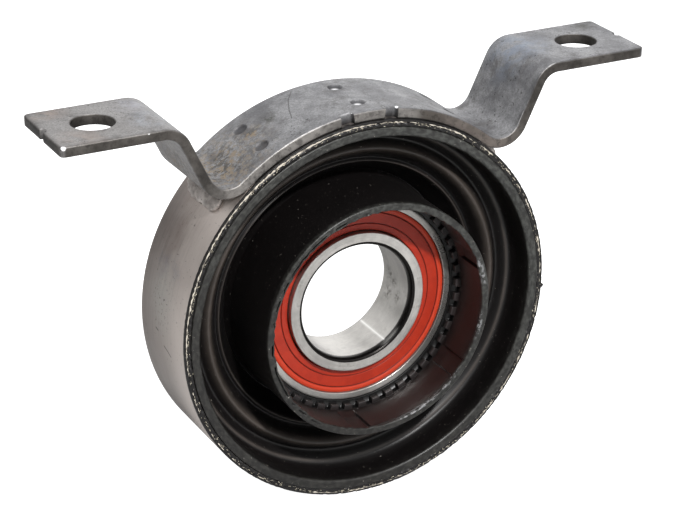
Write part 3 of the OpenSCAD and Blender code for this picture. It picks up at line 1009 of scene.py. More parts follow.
# %% Drum finish
PALE_PLACE = ((-56.5, 2, 9), 17)
COLD_PLACES = (((-54, -4.2, 19.7), 6), ((-54.4, 5.3, 18.5), 6))
NOTCH_TURNS = (-edge_notch_angle, edge_notch_angle)
NOTCH_SHADE_DEPTH = 1.2
NOTCH_SHADE_REACH = 2.6
LOW_SHADE_RUN = (16, -14)
REAR_SHADE_RUN = (0, shell_rear)
FRONT_LIGHT_RUN = (4, shell_front)


def drum_grey(tree, point, skin, rings):
    """Taupe blotches and hairlines, paler and colder in places, painted shade low down and behind, painted
    light in front.
    """
    split = axes(tree, point)
    hairlines = mask(tree, rings, low=0.45, high=0.75)
    pale = times(tree, spot(tree, point, *PALE_PLACE), mask(tree, skin["Grain"], low=0.2, high=0.7))
    rubbed = patches(tree, point, scale=180, detail=5, roughness=0.7, low=0.44, high=0.6)
    cold = [(times(tree, spot(tree, point, *where), rubbed), (120, 124, 140), 0.45) for where in COLD_PLACES]
    # Painted shade low down and towards the rear edge, and painted light towards the front rim.
    low_shade = zone(tree, split["Z"], *LOW_SHADE_RUN)
    rear_shade = zone(tree, split["Y"], *REAR_SHADE_RUN)
    in_front = zone(tree, split["Y"], *FRONT_LIGHT_RUN)
    return coats(tree, blotched(tree, skin, (160, 148, 142), (186, 177, 171)),
                 (hairlines, (104, 96, 92), 0.3), (pale, (172, 176, 172), 0.6), *cold,
                 (low_shade, (118, 112, 108), 0.6), (rear_shade, (118, 111, 108), 0.65),
                 (in_front, (238, 228, 221), 0.5))


def make_shell_steel():
    """Drawn steel with scratches and specks, shade under the strap's notches and a bare, nicked edge."""
    material, tree, shader = start_material("shell_steel_look", Specular_IOR_Level=0.5)
    skin = use_group(tree, weathering, Blotch_Scale=38, Speck_Scale=900, Speck_Share=0.4, Grain_Scale=2600)
    rings = use_group(tree, turning, Fineness=1400, Drift=5)["Rings"]
    point = place(tree)
    notches = [round_shaft(shell_r, turn, shell_front + NOTCH_SHADE_DEPTH) for turn in NOTCH_TURNS]
    shades = [(spot(tree, point, notch, NOTCH_SHADE_REACH), (24, 22, 21), 1) for notch in notches]
    rim = painted(tree, "rim")
    nicks = patches(tree, point, scale=600, detail=3, roughness=0.6, low=0.5, high=0.6)
    bare = tint(tree, nicks, (204, 196, 182), (62, 56, 50), strength=0.75)
    film_and_shadow = film_and_strap_shadow(tree, point)
    steel = coats(tree, drum_grey(tree, point, skin, rings),
                  (drum_scratches(tree, point), (58, 55, 54), 0.85), (skin["Speck"], (74, 70, 66), 0.5),
                  *shades, (rim, bare, 1), (film_and_shadow, (17, 15, 14), 1))
    metallic = ramp(tree, rim, start=0.95, rise=-0.65)
    dress(tree, shader, Base_Color=steel,
          Metallic=times(tree, metallic, ramp(tree, film_and_shadow, start=1.0, rise=-1.0)),
          Roughness=ramp(tree, skin["Blotch"], start=0.36, rise=0.12),
          Normal=bumped(tree, average(tree, rings, skin["Blotch"]), depth=0.05, strength=0.5))
    return material


settle(outer_shell, "housing", make_shell_steel(), "shell_steel", "outer_shell")

# %% Rubber film on the drum's edge
FILM_WAVES = np.concatenate([np.arange(3, 14, 2), np.arange(21, 220, 9)])
PATCH_WAVES = np.arange(7, 70, 6)
FILM_TURNS = 1400
FILM_SIDES = 12
FILM_LEAST_WIDTH = 0.08
FILM_INSIDE_EDGE = 0.02
FILM_FOOT = 0.02
FILM_DEEPEST = 0.12
FILM_RISES = (0.25, 2.0)
FILM_UNEVEN = 0.4
BARE_MIDDLE, BARE_REACH = np.radians((318, 48))
CLOSED_MIDDLE, CLOSED_REACH = np.radians((238, 30))
NUB_TURN, NUB_REACH = np.radians((93.4, 0.6))
NUB_HEIGHT = 0.7
COVER_LEAST = 0.3
COVER_BROKEN = 0.4
COVER_CLOSED = 0.25
COVER_WIDENS = 0.3
INNER_WIDTH = 1.05
OUTER_WIDTH = 0.55
BROKEN_MEAN = 0.5
BROKEN_SPREAD = 1.4
FILM_OVERLAP = 0.1
FILM_INSET = 0.03
film_turn = np.linspace(0, 2 * np.pi, FILM_TURNS, endpoint=False)[:, None]
from_bare, from_closed = (near_turn(film_turn, middle, 2 * np.pi) for middle in (BARE_MIDDLE, CLOSED_MIDDLE))
bare_share = hill(from_bare, middle=0, reach=BARE_REACH, power=4)
closed_share = hill(from_closed, middle=0, reach=CLOSED_REACH, power=4)
broken_share = BROKEN_MEAN + BROKEN_SPREAD * round_noise(film_turn, PATCH_WAVES, seed=41)
broken_share = np.clip(broken_share, 0, 1)
covered = (1 - bare_share) * (COVER_LEAST + COVER_BROKEN * broken_share) + COVER_CLOSED * closed_share
nub = NUB_HEIGHT * hill(film_turn, NUB_TURN, NUB_REACH, power=4)


def film_ring(inner, outer, height, wander, seed):
    """A low half-round bead on the drum's front edge between two radii, all three of which wander."""
    inner = inner + wander * round_noise(film_turn, FILM_WAVES, seed)
    outer = outer + wander * round_noise(film_turn, FILM_WAVES, seed + 1)
    outer = np.minimum(np.maximum(outer, inner + FILM_LEAST_WIDTH), shell_r - FILM_INSIDE_EDGE + nub)
    rise = height * np.clip(1 + FILM_UNEVEN * round_noise(film_turn, FILM_WAVES, seed + 2), *FILM_RISES)
    section = np.linspace(0, 2 * np.pi, FILM_SIDES, endpoint=False)
    radius = (inner + outer) / 2 + (outer - inner) / 2 * np.cos(section)
    along = np.minimum(shell_front + FILM_FOOT - rise * np.sin(section), shell_front + FILM_DEEPEST)
    return round_shaft(radius, film_turn, along), True, True


inner_edge = shell_inner_r + INNER_WIDTH + COVER_WIDENS * covered
outer_edge = shell_r - OUTER_WIDTH - COVER_WIDENS * covered
rim_film = mesh_piece("rim_film", [
    film_ring(shell_inner_r - FILM_OVERLAP, inner_edge, height=0.3, wander=0.08, seed=11),
    film_ring(outer_edge, shell_r - FILM_INSET + nub, height=0.18, wander=0.08, seed=29)])
print("film covers", round(float(covered.mean()), 2), "of its widest, on average")

# %% Chips on the drum's edge
CHIP_COUNT = 520
CHIP_ROWS = 7
CHIP_SIDES = 8
CHIP_LIFT = 0.26
CHIP_FLATNESS = 0.6
CHIP_HALF_LENGTHS = (0.08, 0.42)
CHIP_HALF_WIDTHS = (0.03, 0.09)
CHIP_INSETS = (0.1, 1.5)
CHIP_INSET_MEAN = 0.8
CHIP_INSET_SPREAD = 0.3


def rim_chip(chance):
    """A thin lozenge of bare metal that lies along the rim: wide in its middle, pointed at both ends."""
    middle = chance.uniform(0, 2 * np.pi)
    radius = shell_inner_r + np.clip(chance.normal(CHIP_INSET_MEAN, CHIP_INSET_SPREAD), *CHIP_INSETS)
    half_length = chance.uniform(*CHIP_HALF_LENGTHS)
    half_width = chance.uniform(*CHIP_HALF_WIDTHS)
    share = np.linspace(-1, 1, CHIP_ROWS)[:, None]
    section = np.linspace(0, 2 * np.pi, CHIP_SIDES, endpoint=False)
    spread = half_width * np.sqrt(1 - share ** 2)
    along = shell_front - CHIP_LIFT - CHIP_FLATNESS * spread * np.sin(section)
    turn = middle + half_length * share / radius
    return round_shaft(radius + spread * np.cos(section), turn, along), False, True


def make_chip_metal():
    """Bare cream-coloured metal, a little dull, from a deeper to a paler cream by noise."""
    material, tree, shader = start_material("chip_metal_look", Metallic=0.5, Roughness=0.4)
    tone = noise(tree, place(tree), scale=900, detail=2, roughness=0.5)
    dress(tree, shader, Base_Color=tint(tree, tone, (180, 170, 146), (236, 228, 208)))
    return material


chip_chance = np.random.default_rng(5)
rim_chips = mesh_piece("rim_chips", [rim_chip(chip_chance) for _ in range(CHIP_COUNT)])
close_poles(rim_chips)
settle(rim_chips, "housing", make_chip_metal(), "shell_steel")

# %% [markdown]
# The rubber is the soft part: a moulded diaphragm with a broad fold and two narrow ones,
# bonded to the drum outside and to the sleeve inside. It carries the sleeve and lets it
# float along the shaft, so it must stretch when the sleeve moves. Its front line goes
# smoothly through a few fold points.

# %% Rubber finish
RUBBER_MASKS = ("scuff", "ridge", "fray")
RIGHT_SHARE = 0.6
PAINTED_LIGHT_RUN = (-50, 50)


def make_black_rubber():
    """Black moulded rubber, dusty in specks, rubbed grey on the lips with painted light to the top right,
    brown-grey ridges of rubbed dust and painted sheen, frays with a painted highlight.
    """
    material, tree, shader = start_material("black_rubber_look", Specular_IOR_Level=0.42)
    skin = use_group(tree, weathering, Blotch_Scale=90, Speck_Scale=1300, Speck_Share=0.3, Grain_Scale=3800)
    rings = use_group(tree, turning, Fineness=900, Drift=30)["Rings"]
    point = place(tree)
    split = axes(tree, point)
    # Painted light: the rubbed tones of the lips turn paler towards the top and the right.
    high = zone(tree, ramp(tree, split["X"], start=split["Z"], rise=RIGHT_SHARE), *PAINTED_LIGHT_RUN)
    deep = tint(tree, high, (21, 20, 18), (32, 32, 30))
    pale = tint(tree, high, (44, 43, 40), (64, 65, 62))
    rubbed = tint(tree, mask(tree, rings, low=0.4, high=0.65), deep, pale)
    patchy = ramp(tree, skin["Blotch"], start=0.7, rise=0.3)
    scuff, ridge, fray = (painted(tree, name) for name in RUBBER_MASKS)
    # The fray mask lays frayed rubber and a painted highlight in pale grey, broken by threads.
    threads = patches(tree, point, scale=900, detail=3, roughness=0.6, low=0.48, high=0.58)
    # The ridge mask lays rubbed dust and a painted sheen in brown-grey.
    black = coats(tree, blotched(tree, skin, (6, 4, 4), (10, 7, 7)),
                  (times(tree, scuff, patchy), rubbed, 1), (times(tree, ridge, patchy), (70, 63, 58), 1),
                  (times(tree, fray, threads), (138, 138, 140), 0.65), (skin["Speck"], (160, 154, 146), 0.5))
    dress(tree, shader, Base_Color=black, Roughness=ramp(tree, skin["Grain"], start=0.36, rise=0.16),
          Normal=bumped(tree, average(tree, skin["Grain"], rings), depth=0.05, strength=0.4))
    return material


black_rubber = make_black_rubber()
for name in RUBBER_MASKS:
    paint(rim_film, name, 0)
settle(rim_film, "housing", black_rubber, "black_rubber")

# %% Rubber outline
FOLD_STEPS = 4
rubber_gap = 0.05
rubber_outer_r = shell_inner_r - rubber_gap
rubber_lip_r = 52.65
lip_front = shell_front - 0.6
wall_rear = shell_rear - 0.6
wall_bevel = 0.4
wall_edge = 0.3
wall_gap = 1
web_thick = 4.0
lip_start_gap = 0.4
lip_stop_gap = 0.6
sleeve_r = sleeve_high[0]
mouth_r = 33.3
collar_inner_r = sleeve_r + rubber_gap
collar_r = collar_inner_r + 0.6
collar_front = rubber_low[1]
collar_lip = 1.0
collar_rear = sleeve_high[1]
web_root_r = collar_r + 1.2
root_inset = 0.3
root_behind = 1
root_ahead = 2
rear_root_gap = 0.5
rear_lip_gap = 0.3
slit_r = mouth_r + 0.75
slit_half = 0.23
slit_depth = 0.85
fold_shares = np.array([0, 0.059, 0.115, 0.171, 0.258, 0.351, 0.432, 0.512, 0.587, 0.643, 0.674, 0.705,
                        0.73, 0.755, 0.811, 1.0])
fold_depths = np.array([7, 9.2, 9.7, 10.6, 12, 10.6, 9.6, 10.6, 12.4, 13.8, 14.2, 13.75,
                        13.45, 13.75, 15.2, 20.0])


def smooth_through(points, steps):
    """A curve through the points: cubics whose end slopes weigh both neighbours by distance."""
    padded = np.concatenate([2 * points[:1] - points[1:2], points, 2 * points[-1:] - points[-2:-1]])
    before, here, there, after = (padded[k:len(padded) - 3 + k, None] for k in range(4))
    gaps = np.linalg.norm(np.diff(padded, axis=0), axis=1)[:, None, None]
    first, middle, last = (gaps[k:len(gaps) - 2 + k] for k in range(3))
    pull_here = (there - here) * first / middle + (here - before) * middle / first
    pull_there = (after - there) * middle / last + (there - here) * last / middle
    slope_here = middle * pull_here / (first + middle)
    slope_there = middle * pull_there / (middle + last)
    t = np.linspace(0, 1, steps, endpoint=False)[None, :, None]
    curve = ((2 * t ** 3 - 3 * t ** 2 + 1) * here + (t ** 3 - 2 * t ** 2 + t) * slope_here
             + (3 * t ** 2 - 2 * t ** 3) * there + (t ** 3 - t ** 2) * slope_there)
    return np.concatenate([curve.reshape(-1, 2), points[-1:]])


def begin_at(outline, radius, along):
    """The closed line, numbered from its point nearest to a place."""
    nearest = np.argmin(np.hypot(outline[:, 0] - radius, outline[:, 1] - along))
    return np.roll(outline, -nearest, axis=0)


def collar_outline(root_r, web_end):
    """The collar from the web's end: forward, over its lip with the slit, back along the sleeve."""
    slit_floor = collar_front + slit_depth
    lip_back = collar_front + collar_lip
    slit_out = slit_r + slit_half
    slit_in = slit_r - slit_half
    corners = [(root_r, web_end + root_behind), (collar_r, web_end - root_ahead), (collar_r, collar_front),
               (slit_out, collar_front), (slit_out, slit_floor), (slit_in, slit_floor),
               (slit_in, collar_front), (mouth_r, collar_front), (mouth_r, lip_back),
               (collar_inner_r, lip_back), (collar_inner_r, collar_rear), (root_r, collar_rear)]
    radii = [0.2, 0.8, 0.5, 0.05, 0.05, 0.05, 0.05, 0.45, 0.2, 0.1, 0.2, 0.2]
    return begin_at(rounded_outline(corners, radii, step=3.0), root_r, web_end + root_behind)


def lip_outline(web_start):
    """The front lip from the drum's wall round to the web, without the side that the web closes."""
    corners = [(rubber_lip_r, web_start), (rubber_outer_r, web_start), (rubber_outer_r, lip_front),
               (rubber_lip_r, lip_front)]
    lip = rounded_outline(corners, radii=[0.01, 0.01, 0.35, 0.9], step=2.0)
    lip = begin_at(lip, rubber_outer_r, web_start)
    lip = lip[np.argmax(lip[:, 1] < web_start - lip_start_gap):]
    return lip[:len(lip) - np.argmax(lip[::-1, 1] < web_start - lip_stop_gap)]


def rubber_outline(web):
    """Front lip, folded web, collar with its turned-in lip, then the rear of the web and the outer wall."""
    lip = lip_outline(web[0, 1])
    collar = collar_outline(web_root_r - root_inset, web[-1, 1])
    rear_web = (web + [0, web_thick])[::-2]
    rear_r = rear_web[:, 0]
    rear_web = rear_web[(rear_r > web_root_r + rear_root_gap) & (rear_r < rubber_lip_r - rear_lip_gap)]
    wall = np.array([(rubber_lip_r, rear_web[-1, 1] + wall_gap), (rubber_lip_r, wall_rear - wall_bevel),
                     (rubber_lip_r + wall_bevel, wall_rear), (rubber_outer_r - wall_edge, wall_rear),
                     (rubber_outer_r, wall_rear - wall_edge)])
    return fine_line(np.concatenate([lip, web, collar, rear_web, wall, lip[:1]]), step=3.0)[:-1]


fold_radii = rubber_lip_r + fold_shares * (web_root_r - rubber_lip_r)
web_line = smooth_through(np.stack([fold_radii, shell_front + fold_depths], axis=1), FOLD_STEPS)
rubber_line = rubber_outline(web_line)
print("rubber outline has", len(rubber_line), "points")

# %% Rubber diaphragm
RAGGED_WAVES = np.concatenate([np.arange(3, 30, 4), np.arange(33, 90, 9)])
RAGGED_HEIGHT = 0.1
LIP_SLACK = 0.1
LIP_INSIDE = 0.5
LIP_OUTSIDE = 1.2
LIP_FADE = 0.4
SLIT_WAVES = np.arange(5, 60, 5)
SLIT_RUN = (-150, 0)
SLIT_RUN_FADE = 12
SLIT_MEAN = 0.5
SLIT_SPREAD = 1.2
SLIT_SLACK = 0.02
SLIT_LEAST = 0.02
TEAR_TURN, TEAR_REACH = np.radians((-51.7, 4.2))
TEAR_WIDER = 1.2
TEAR_INWARD = 0.1


def ragged_lip(points):
    """Draws the collar lip's inner edge in and out round the ring, as trimmed rubber is left."""
    radius = shaft_radius(points)
    in_front = points[..., 1] < collar_front + collar_lip + LIP_SLACK
    at_lip = window(radius, mouth_r - LIP_INSIDE, mouth_r + LIP_OUTSIDE, LIP_FADE) * in_front
    grown = 1 - at_lip * RAGGED_HEIGHT * (1 + round_noise(shaft_turn(points), RAGGED_WAVES, seed=3)) / radius
    return points * np.stack([grown, np.ones_like(grown), grown], axis=-1)


def open_slit(points):
    """Brings the floor of the lip's slit up to the face, but for broken runs on the left and a wider tear."""
    x, y, z = np.moveaxis(points, -1, 0)
    radius = shaft_radius(points)
    turn = shaft_turn(points)
    torn = hill(turn, TEAR_TURN, TEAR_REACH, power=4)
    in_slit = np.abs(radius - slit_r) < slit_half + SLIT_SLACK
    in_slit = in_slit & (y < collar_front + slit_depth + SLIT_SLACK)
    runs = np.clip(SLIT_MEAN + SLIT_SPREAD * round_noise(turn, SLIT_WAVES, seed=7), 0, 1)
    runs = runs * window(np.degrees(turn), *SLIT_RUN, SLIT_RUN_FADE)
    depth = (y - collar_front) * np.maximum(np.maximum(runs, torn), SLIT_LEAST)
    wider = 1 + in_slit * torn * ((radius - slit_r) * TEAR_WIDER - TEAR_INWARD) / radius
    return np.stack([x * wider, np.where(in_slit, collar_front + depth, y), z * wider], axis=-1)


rubber_turned, *rubber_loops = turned(rubber_line, turns=384)
rubber_grid = ragged_lip(open_slit(rubber_turned))
rubber_diaphragm = mesh_piece("rubber_diaphragm_skin", [(rubber_grid, *rubber_loops)])
print("rubber grid", rubber_grid.shape)

# %% Rubber masks
# Frayed rubber with a painted highlight on the collar lip's inner edge: turns from and to, and reach in
# radius.
FRAY_AND_HIGHLIGHT_RUNS = ((66, 84, 1.4), (96, 112, 0.8), (128, 172, 0.4))
FRAY_FADE = 4.0
FRAY_LEVEL = 0.5
LIP_PIT_X = 54.8
LIP_PIT_Z = -9.0
LIP_PIT_R = 0.5
# Ridge bands of rubbed dust and painted sheen: radius, reach and strength of each.
RIDGE_DUST_AND_SHEEN_BANDS = ((51.0, 0.38, 0.7), (45.6, 1.2, 0.85), (40.9, 0.3, 0.45))
RIDGE_DEPTH = 1
LIP_SCUFF = 1.2
LIP_SCUFF_FADE = 0.9
COLLAR_SCUFF = 1.0
COLLAR_SCUFF_FADE = 0.7
SCUFF_SLACK = 0.5
rubber_at = mesh_points(rubber_diaphragm)
rubber_y = rubber_at[:, 1]
rubber_radius = shaft_radius(rubber_at)
rubber_turn = np.degrees(shaft_turn(rubber_at))
lip_scuff = np.clip((lip_front + LIP_SCUFF - rubber_y) / LIP_SCUFF_FADE, 0, 1)
lip_scuff = lip_scuff * (rubber_radius > rubber_lip_r - SCUFF_SLACK)
collar_scuff = np.clip((collar_front + COLLAR_SCUFF - rubber_y) / COLLAR_SCUFF_FADE, 0, 1)
collar_scuff = collar_scuff * (rubber_radius < collar_r + SCUFF_SLACK)
from_pit = np.hypot(rubber_at[:, 0] - LIP_PIT_X, rubber_at[:, 2] - LIP_PIT_Z)
lip_scuff = lip_scuff * np.clip(from_pit - LIP_PIT_R, 0, 1)
paint(rubber_diaphragm, "scuff", np.maximum(lip_scuff, collar_scuff))
fray_and_highlight_runs = [window(rubber_turn, low, high, FRAY_FADE) * (rubber_radius < mouth_r + wide)
         for low, high, wide in FRAY_AND_HIGHLIGHT_RUNS]
paint(rubber_diaphragm, "fray", sum(fray_and_highlight_runs) * (collar_scuff > FRAY_LEVEL))
web_front = np.interp(rubber_radius, web_line[::-1, 0], web_line[::-1, 1])
ridge_dust_and_sheen_share = sum(strength * hill(rubber_radius, middle, reach) for middle, reach, strength in RIDGE_DUST_AND_SHEEN_BANDS)
paint(rubber_diaphragm, "ridge", np.clip(ridge_dust_and_sheen_share, 0, 1) * (np.abs(rubber_y - web_front) < RIDGE_DEPTH))
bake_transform(rubber_diaphragm)
settle(rubber_diaphragm, None, black_rubber, "black_rubber", "rubber_diaphragm")

# %% [markdown]
# The sleeve is a dark brown moulding. Inside its mouth there are broad panels with narrow
# channels between, and at the bottom a row of blocks that stop the bearing. All of that
# is one grid: an outline whose radius also depends on the angle. The grid lines crowd at
# the flanks of the blocks and channels, so that they stay crisp.

# %% Sleeve
SEAT_CLEARANCE = 0.02
MOUTH_SLACK = 0.2
TOOTH_SLACK = 0.05
TOOTH_TIP_SLACK = 0.1
FLANK_REACH = 1.5
channel_floor_r = 34.1
channel_half_angle = np.radians(9.75 / 2)
channel_pitch = np.radians(60)
channel_angles = np.radians(-39 + 60 * np.arange(6))
channel_rear = -10.9
tooth_count = 45
tooth_pitch = 2 * np.pi / tooth_count
tooth_half_angle = 0.55 * tooth_pitch / 2
tooth_tip_r = 31.8
ring_low, ring_high = node_box("bearing_outer_ring")
ring_r = ring_high[0]
seat_r = ring_r + SEAT_CLEARANCE
seat_front = ring_low[1] - SEAT_CLEARANCE
seat_rear = ring_high[1] + SEAT_CLEARANCE
tooth_front = seat_front - 2.0
shoulder_r = 27.52
flank = np.radians(0.35)


def sleeve_surface():
    """Outline radius, let out by the channel depth in channels and by the tooth height between blocks."""
    tooth_sides = tooth_pitch * np.arange(tooth_count + 1)[:, None] + [-tooth_half_angle, tooth_half_angle]
    channel_sides = (channel_angles % (2 * np.pi))[:, None] + [-channel_half_angle, channel_half_angle]
    flanks = np.concatenate([tooth_sides.ravel(), channel_sides.ravel()])
    angle = crowded(0, 2 * np.pi, flanks, count=760, reach=flank * FLANK_REACH, crowd=5)[:-1, None]
    corners = [(sleeve_r, sleeve_low[1]), (mouth_r, sleeve_low[1]), (mouth_r, tooth_front),
               (tooth_tip_r, tooth_front), (tooth_tip_r, seat_front), (seat_r, seat_front),
               (seat_r, seat_rear), (shoulder_r, seat_rear), (shoulder_r, sleeve_high[1]),
               (sleeve_r, sleeve_high[1])]
    radii = [0.2, 0.35, 0.05, 0.25, 0.05, 0.2, 0.05, 0.3, 0.3, 0.3]
    outline = rounded_outline(corners, radii, step=1.5)
    radius = np.broadcast_to(outline[:, 0], (len(angle), len(outline))).copy()
    along = np.broadcast_to(outline[:, 1], radius.shape)
    from_channel = near_turn(angle, channel_angles[0], channel_pitch)
    in_channel = np.clip((channel_half_angle + flank / 2 - from_channel) / flank, 0, 1)
    in_mouth = (np.abs(radius - mouth_r) < MOUTH_SLACK) & (along < channel_rear)
    radius += in_mouth * in_channel * (channel_floor_r - mouth_r)
    from_tooth = near_turn(angle, 0, tooth_pitch)
    between = np.clip((from_tooth - tooth_half_angle + flank / 2) / flank, 0, 1)
    in_tooth = (radius < mouth_r - TOOTH_SLACK) & (radius > tooth_tip_r - TOOTH_TIP_SLACK)
    in_tooth = in_tooth & (along < seat_front + TOOTH_SLACK)
    radius += in_tooth * between * (mouth_r - radius)
    return np.stack([radius * np.cos(angle), along, radius * np.sin(angle)], axis=-1), True, True


bearing_sleeve = mesh_piece("bearing_sleeve_skin", [sleeve_surface()])
print("sleeve has", tooth_count, "blocks and", len(channel_angles), "channels")

# %% Sleeve finish
FLANK_SHADE_REACH = 0.4
EDGE_SLACK = 0.15
TIP_SLACK = 0.3
SEAT_SLACK = 0.2
sleeve_at = mesh_points(bearing_sleeve)
sleeve_y = sleeve_at[:, 1]
sleeve_radius = shaft_radius(sleeve_at)
sleeve_angle = np.arctan2(sleeve_at[:, 2], sleeve_at[:, 0])
# Painted shade: black in the valleys between blocks, on the ledge behind them and along the channels' flanks.
valley = (sleeve_y > tooth_front + EDGE_SLACK) & (sleeve_radius > tooth_tip_r + TIP_SLACK)
ledge = sleeve_y > seat_front - EDGE_SLACK
from_flank = np.abs(near_turn(sleeve_angle, channel_angles[0], channel_pitch) - channel_half_angle)
flank_shade = hill(from_flank * mouth_r, middle=0, reach=FLANK_SHADE_REACH) * (sleeve_y < channel_rear)
paint(bearing_sleeve, "gap", np.maximum(valley | ledge, flank_shade))
# Painted light: the blocks' front faces and tips turn grey.
on_block = (sleeve_radius < mouth_r - EDGE_SLACK) & (sleeve_y < seat_front - SEAT_SLACK)
paint(bearing_sleeve, "tooth", on_block)


def make_sleeve_brown():
    """Dark brown moulded plastic, satin, dusty in specks, greyer on the blocks by painted light and black in
    the gaps by painted shade.
    """
    material, tree, shader = start_material("sleeve_brown_look", Specular_IOR_Level=0.4)
    skin = use_group(tree, weathering, Blotch_Scale=80, Speck_Scale=1300, Speck_Share=0.1, Grain_Scale=3500)
    brown = coats(tree, blotched(tree, skin, (14, 9, 8), (24, 16, 15)),
                  (skin["Speck"], (120, 112, 104), 0.35), (painted(tree, "tooth"), (50, 46, 46), 0.6),
                  (painted(tree, "gap"), (5, 4, 4), 1))
    dress(tree, shader, Base_Color=brown, Roughness=ramp(tree, skin["Grain"], start=0.3, rise=0.2),
          Normal=bumped(tree, skin["Grain"], depth=0.04, strength=0.4))
    return material


settle(bearing_sleeve, "carrier", make_sleeve_brown(), "sleeve_plastic", "bearing_sleeve")

# %% [markdown]
# The bearing's rings are ground steel, and each holds half of the track that the balls run
# in. They are turned outlines again, with the track as an arc. The face of the inner ring
# is satin, and its bore edge is a polished bevel, darkened by painted shade.

# %% Bearing rings
RING_STEP = 0.4
TRACK_POINTS = 15
BEVEL_POINTS = 6
BEVEL_LEDGE = 0.05
ON_LAND = 0.01
inner_low, inner_high = node_box("bearing_inner_ring")
front_low, front_high = node_box("front_seal")
rear_low, rear_high = node_box("rear_seal")
bore_r = mounts["shaft_bore"]["r_mm"]
bore_bevel = 1.15
bore_bevel_depth = 1.6
inner_land_r = inner_high[0]
outer_land_r = 26.6
seal_seat_r = front_high[0] + SEAT_CLEARANCE
pitch_r = 24.25
track_r = 4.1
bearing_y = (ring_low[1] + ring_high[1]) / 2


def ring_outline(corners, radii, land_r, side):
    """Rounded outline of a ring, with an arc about the pitch circle let into its land as the ball track."""
    line = rounded_outline(corners, radii, RING_STEP)
    half = np.sqrt(track_r ** 2 - (land_r - pitch_r) ** 2)
    in_track = (np.abs(line[:, 0] - land_r) < ON_LAND) & (np.abs(line[:, 1] - bearing_y) < half)
    start = np.argmax(in_track)
    heading = line[(start + 1) % len(line), 1] - line[start, 1]
    along = np.linspace(-half, half, TRACK_POINTS)
    arc = np.stack([pitch_r + side * np.sqrt(track_r ** 2 - along ** 2), bearing_y + along], axis=1)
    arc = arc if heading > 0 else arc[::-1]
    rest = np.roll(line, -start, axis=0)[in_track.sum():]
    return np.concatenate([arc, rest])


outer_corners = [(ring_r, ring_low[1]), (ring_r, ring_high[1]), (seal_seat_r, ring_high[1]),
                 (seal_seat_r, rear_low[1]), (outer_land_r, rear_low[1]), (outer_land_r, front_high[1]),
                 (seal_seat_r, front_high[1]), (seal_seat_r, ring_low[1])]
outer_radii = [0.6, 0.6, 0.2, 0.1, 0.1, 0.1, 0.1, 0.2]
bevel_turn = np.linspace(0, np.pi / 2, BEVEL_POINTS)
bevel_out = bore_r + bore_bevel * (1 - np.cos(bevel_turn))
bevel_out = np.append(bevel_out, bevel_out[-1] + BEVEL_LEDGE)
bevel_in = np.append(bore_bevel_depth * (1 - np.sin(bevel_turn)), 0)
bevel_radii = [0.02] * len(bevel_out)
inner_corners = [*zip(bevel_out, inner_low[1] + bevel_in), (inner_land_r, inner_low[1]),
                 (inner_land_r, inner_high[1]), *zip(bevel_out[::-1], inner_high[1] - bevel_in[::-1])]
inner_radii = [*bevel_radii, 0.25, 0.25, *bevel_radii]
outer_line = ring_outline(outer_corners, outer_radii, outer_land_r, side=1)
inner_line = ring_outline(inner_corners, inner_radii, inner_land_r, side=-1)
outer_ring = mesh_piece("bearing_outer_ring_skin", [turned(outer_line, turns=240)])
inner_ring = mesh_piece("bearing_inner_ring_skin", [turned(inner_line, turns=300)])
print("ring outlines have", len(outer_line), "and", len(inner_line), "points")

# %% Ring masks
# Painted highlights: a thin axial line in the bore and a short arc in the bevel, where the lamp's reflection
# falls.
BORE_HIGHLIGHT_TURN = 146.5
BORE_HIGHLIGHT_REACH = 1.1
BEVEL_HIGHLIGHT_TURN = 141.0
BEVEL_HIGHLIGHT_REACH = 10
BEVEL_HIGHLIGHT_SHARE = 0.7
BEVEL_SHADE_DEPTH = bore_bevel_depth + 0.75
BEVEL_SHADE_FADE = 0.4
BEVEL_SLACK = 0.03
BORE_SLACK = 0.05
BORE_SHADE = 0.16
FACE_SHADE = 0.22
OUTER_SHADE = 0.2
RIGHT_SHADE = 0.33
OUTER_DULL = 0.35
inner_at = mesh_points(inner_ring)
inner_radius = shaft_radius(inner_at)
inner_turn = np.degrees(shaft_turn(inner_at))
to_face = inner_at[:, 1] - inner_low[1]
in_bevel = np.clip((BEVEL_SHADE_DEPTH - to_face) / BEVEL_SHADE_FADE, 0, 1)
in_bevel = in_bevel * (inner_radius < bore_r + bore_bevel + BEVEL_SLACK)
in_bore = (inner_radius < bore_r + BORE_SLACK) & (in_bevel < 1)
from_left = (1 - np.sin(shaft_turn(inner_at))) / 2
bore_highlight = in_bore * hill(inner_turn, BORE_HIGHLIGHT_TURN, BORE_HIGHLIGHT_REACH)
bevel_highlight = in_bevel * hill(inner_turn, BEVEL_HIGHLIGHT_TURN, BEVEL_HIGHLIGHT_REACH, power=4)
bevel_highlight = bevel_highlight * hill(to_face, middle=0.8, reach=0.3)
outer_turn = np.degrees(shaft_turn(mesh_points(outer_ring)))
on_right = window(outer_turn, low=48, high=152, fade=18)
# Painted shade: the bevel band, the bore's walls, the left of the inner face and the right of the outer ring.
paint(inner_ring, "shade", np.maximum(in_bevel, np.where(in_bore, BORE_SHADE, FACE_SHADE * from_left)))
paint(inner_ring, "ring_highlight", bore_highlight + BEVEL_HIGHLIGHT_SHARE * bevel_highlight)
paint(inner_ring, "dull", in_bore * (1 - in_bevel))
paint(outer_ring, "shade", OUTER_SHADE + RIGHT_SHADE * on_right)
paint(outer_ring, "ring_highlight", 0)
paint(outer_ring, "dull", OUTER_DULL)
print("shade reaches", round(BEVEL_SHADE_DEPTH, 2), "mm into the bore")

# %% Ring finish
BORE_STAINS = (((17.5, 5.1, 0.4), 3.6), ((17.4, 2.4, -1.2), 2.6), ((16.7, 5.0, -5.2), 3.6),
               ((16.9, -0.4, -4.5), 2.8))


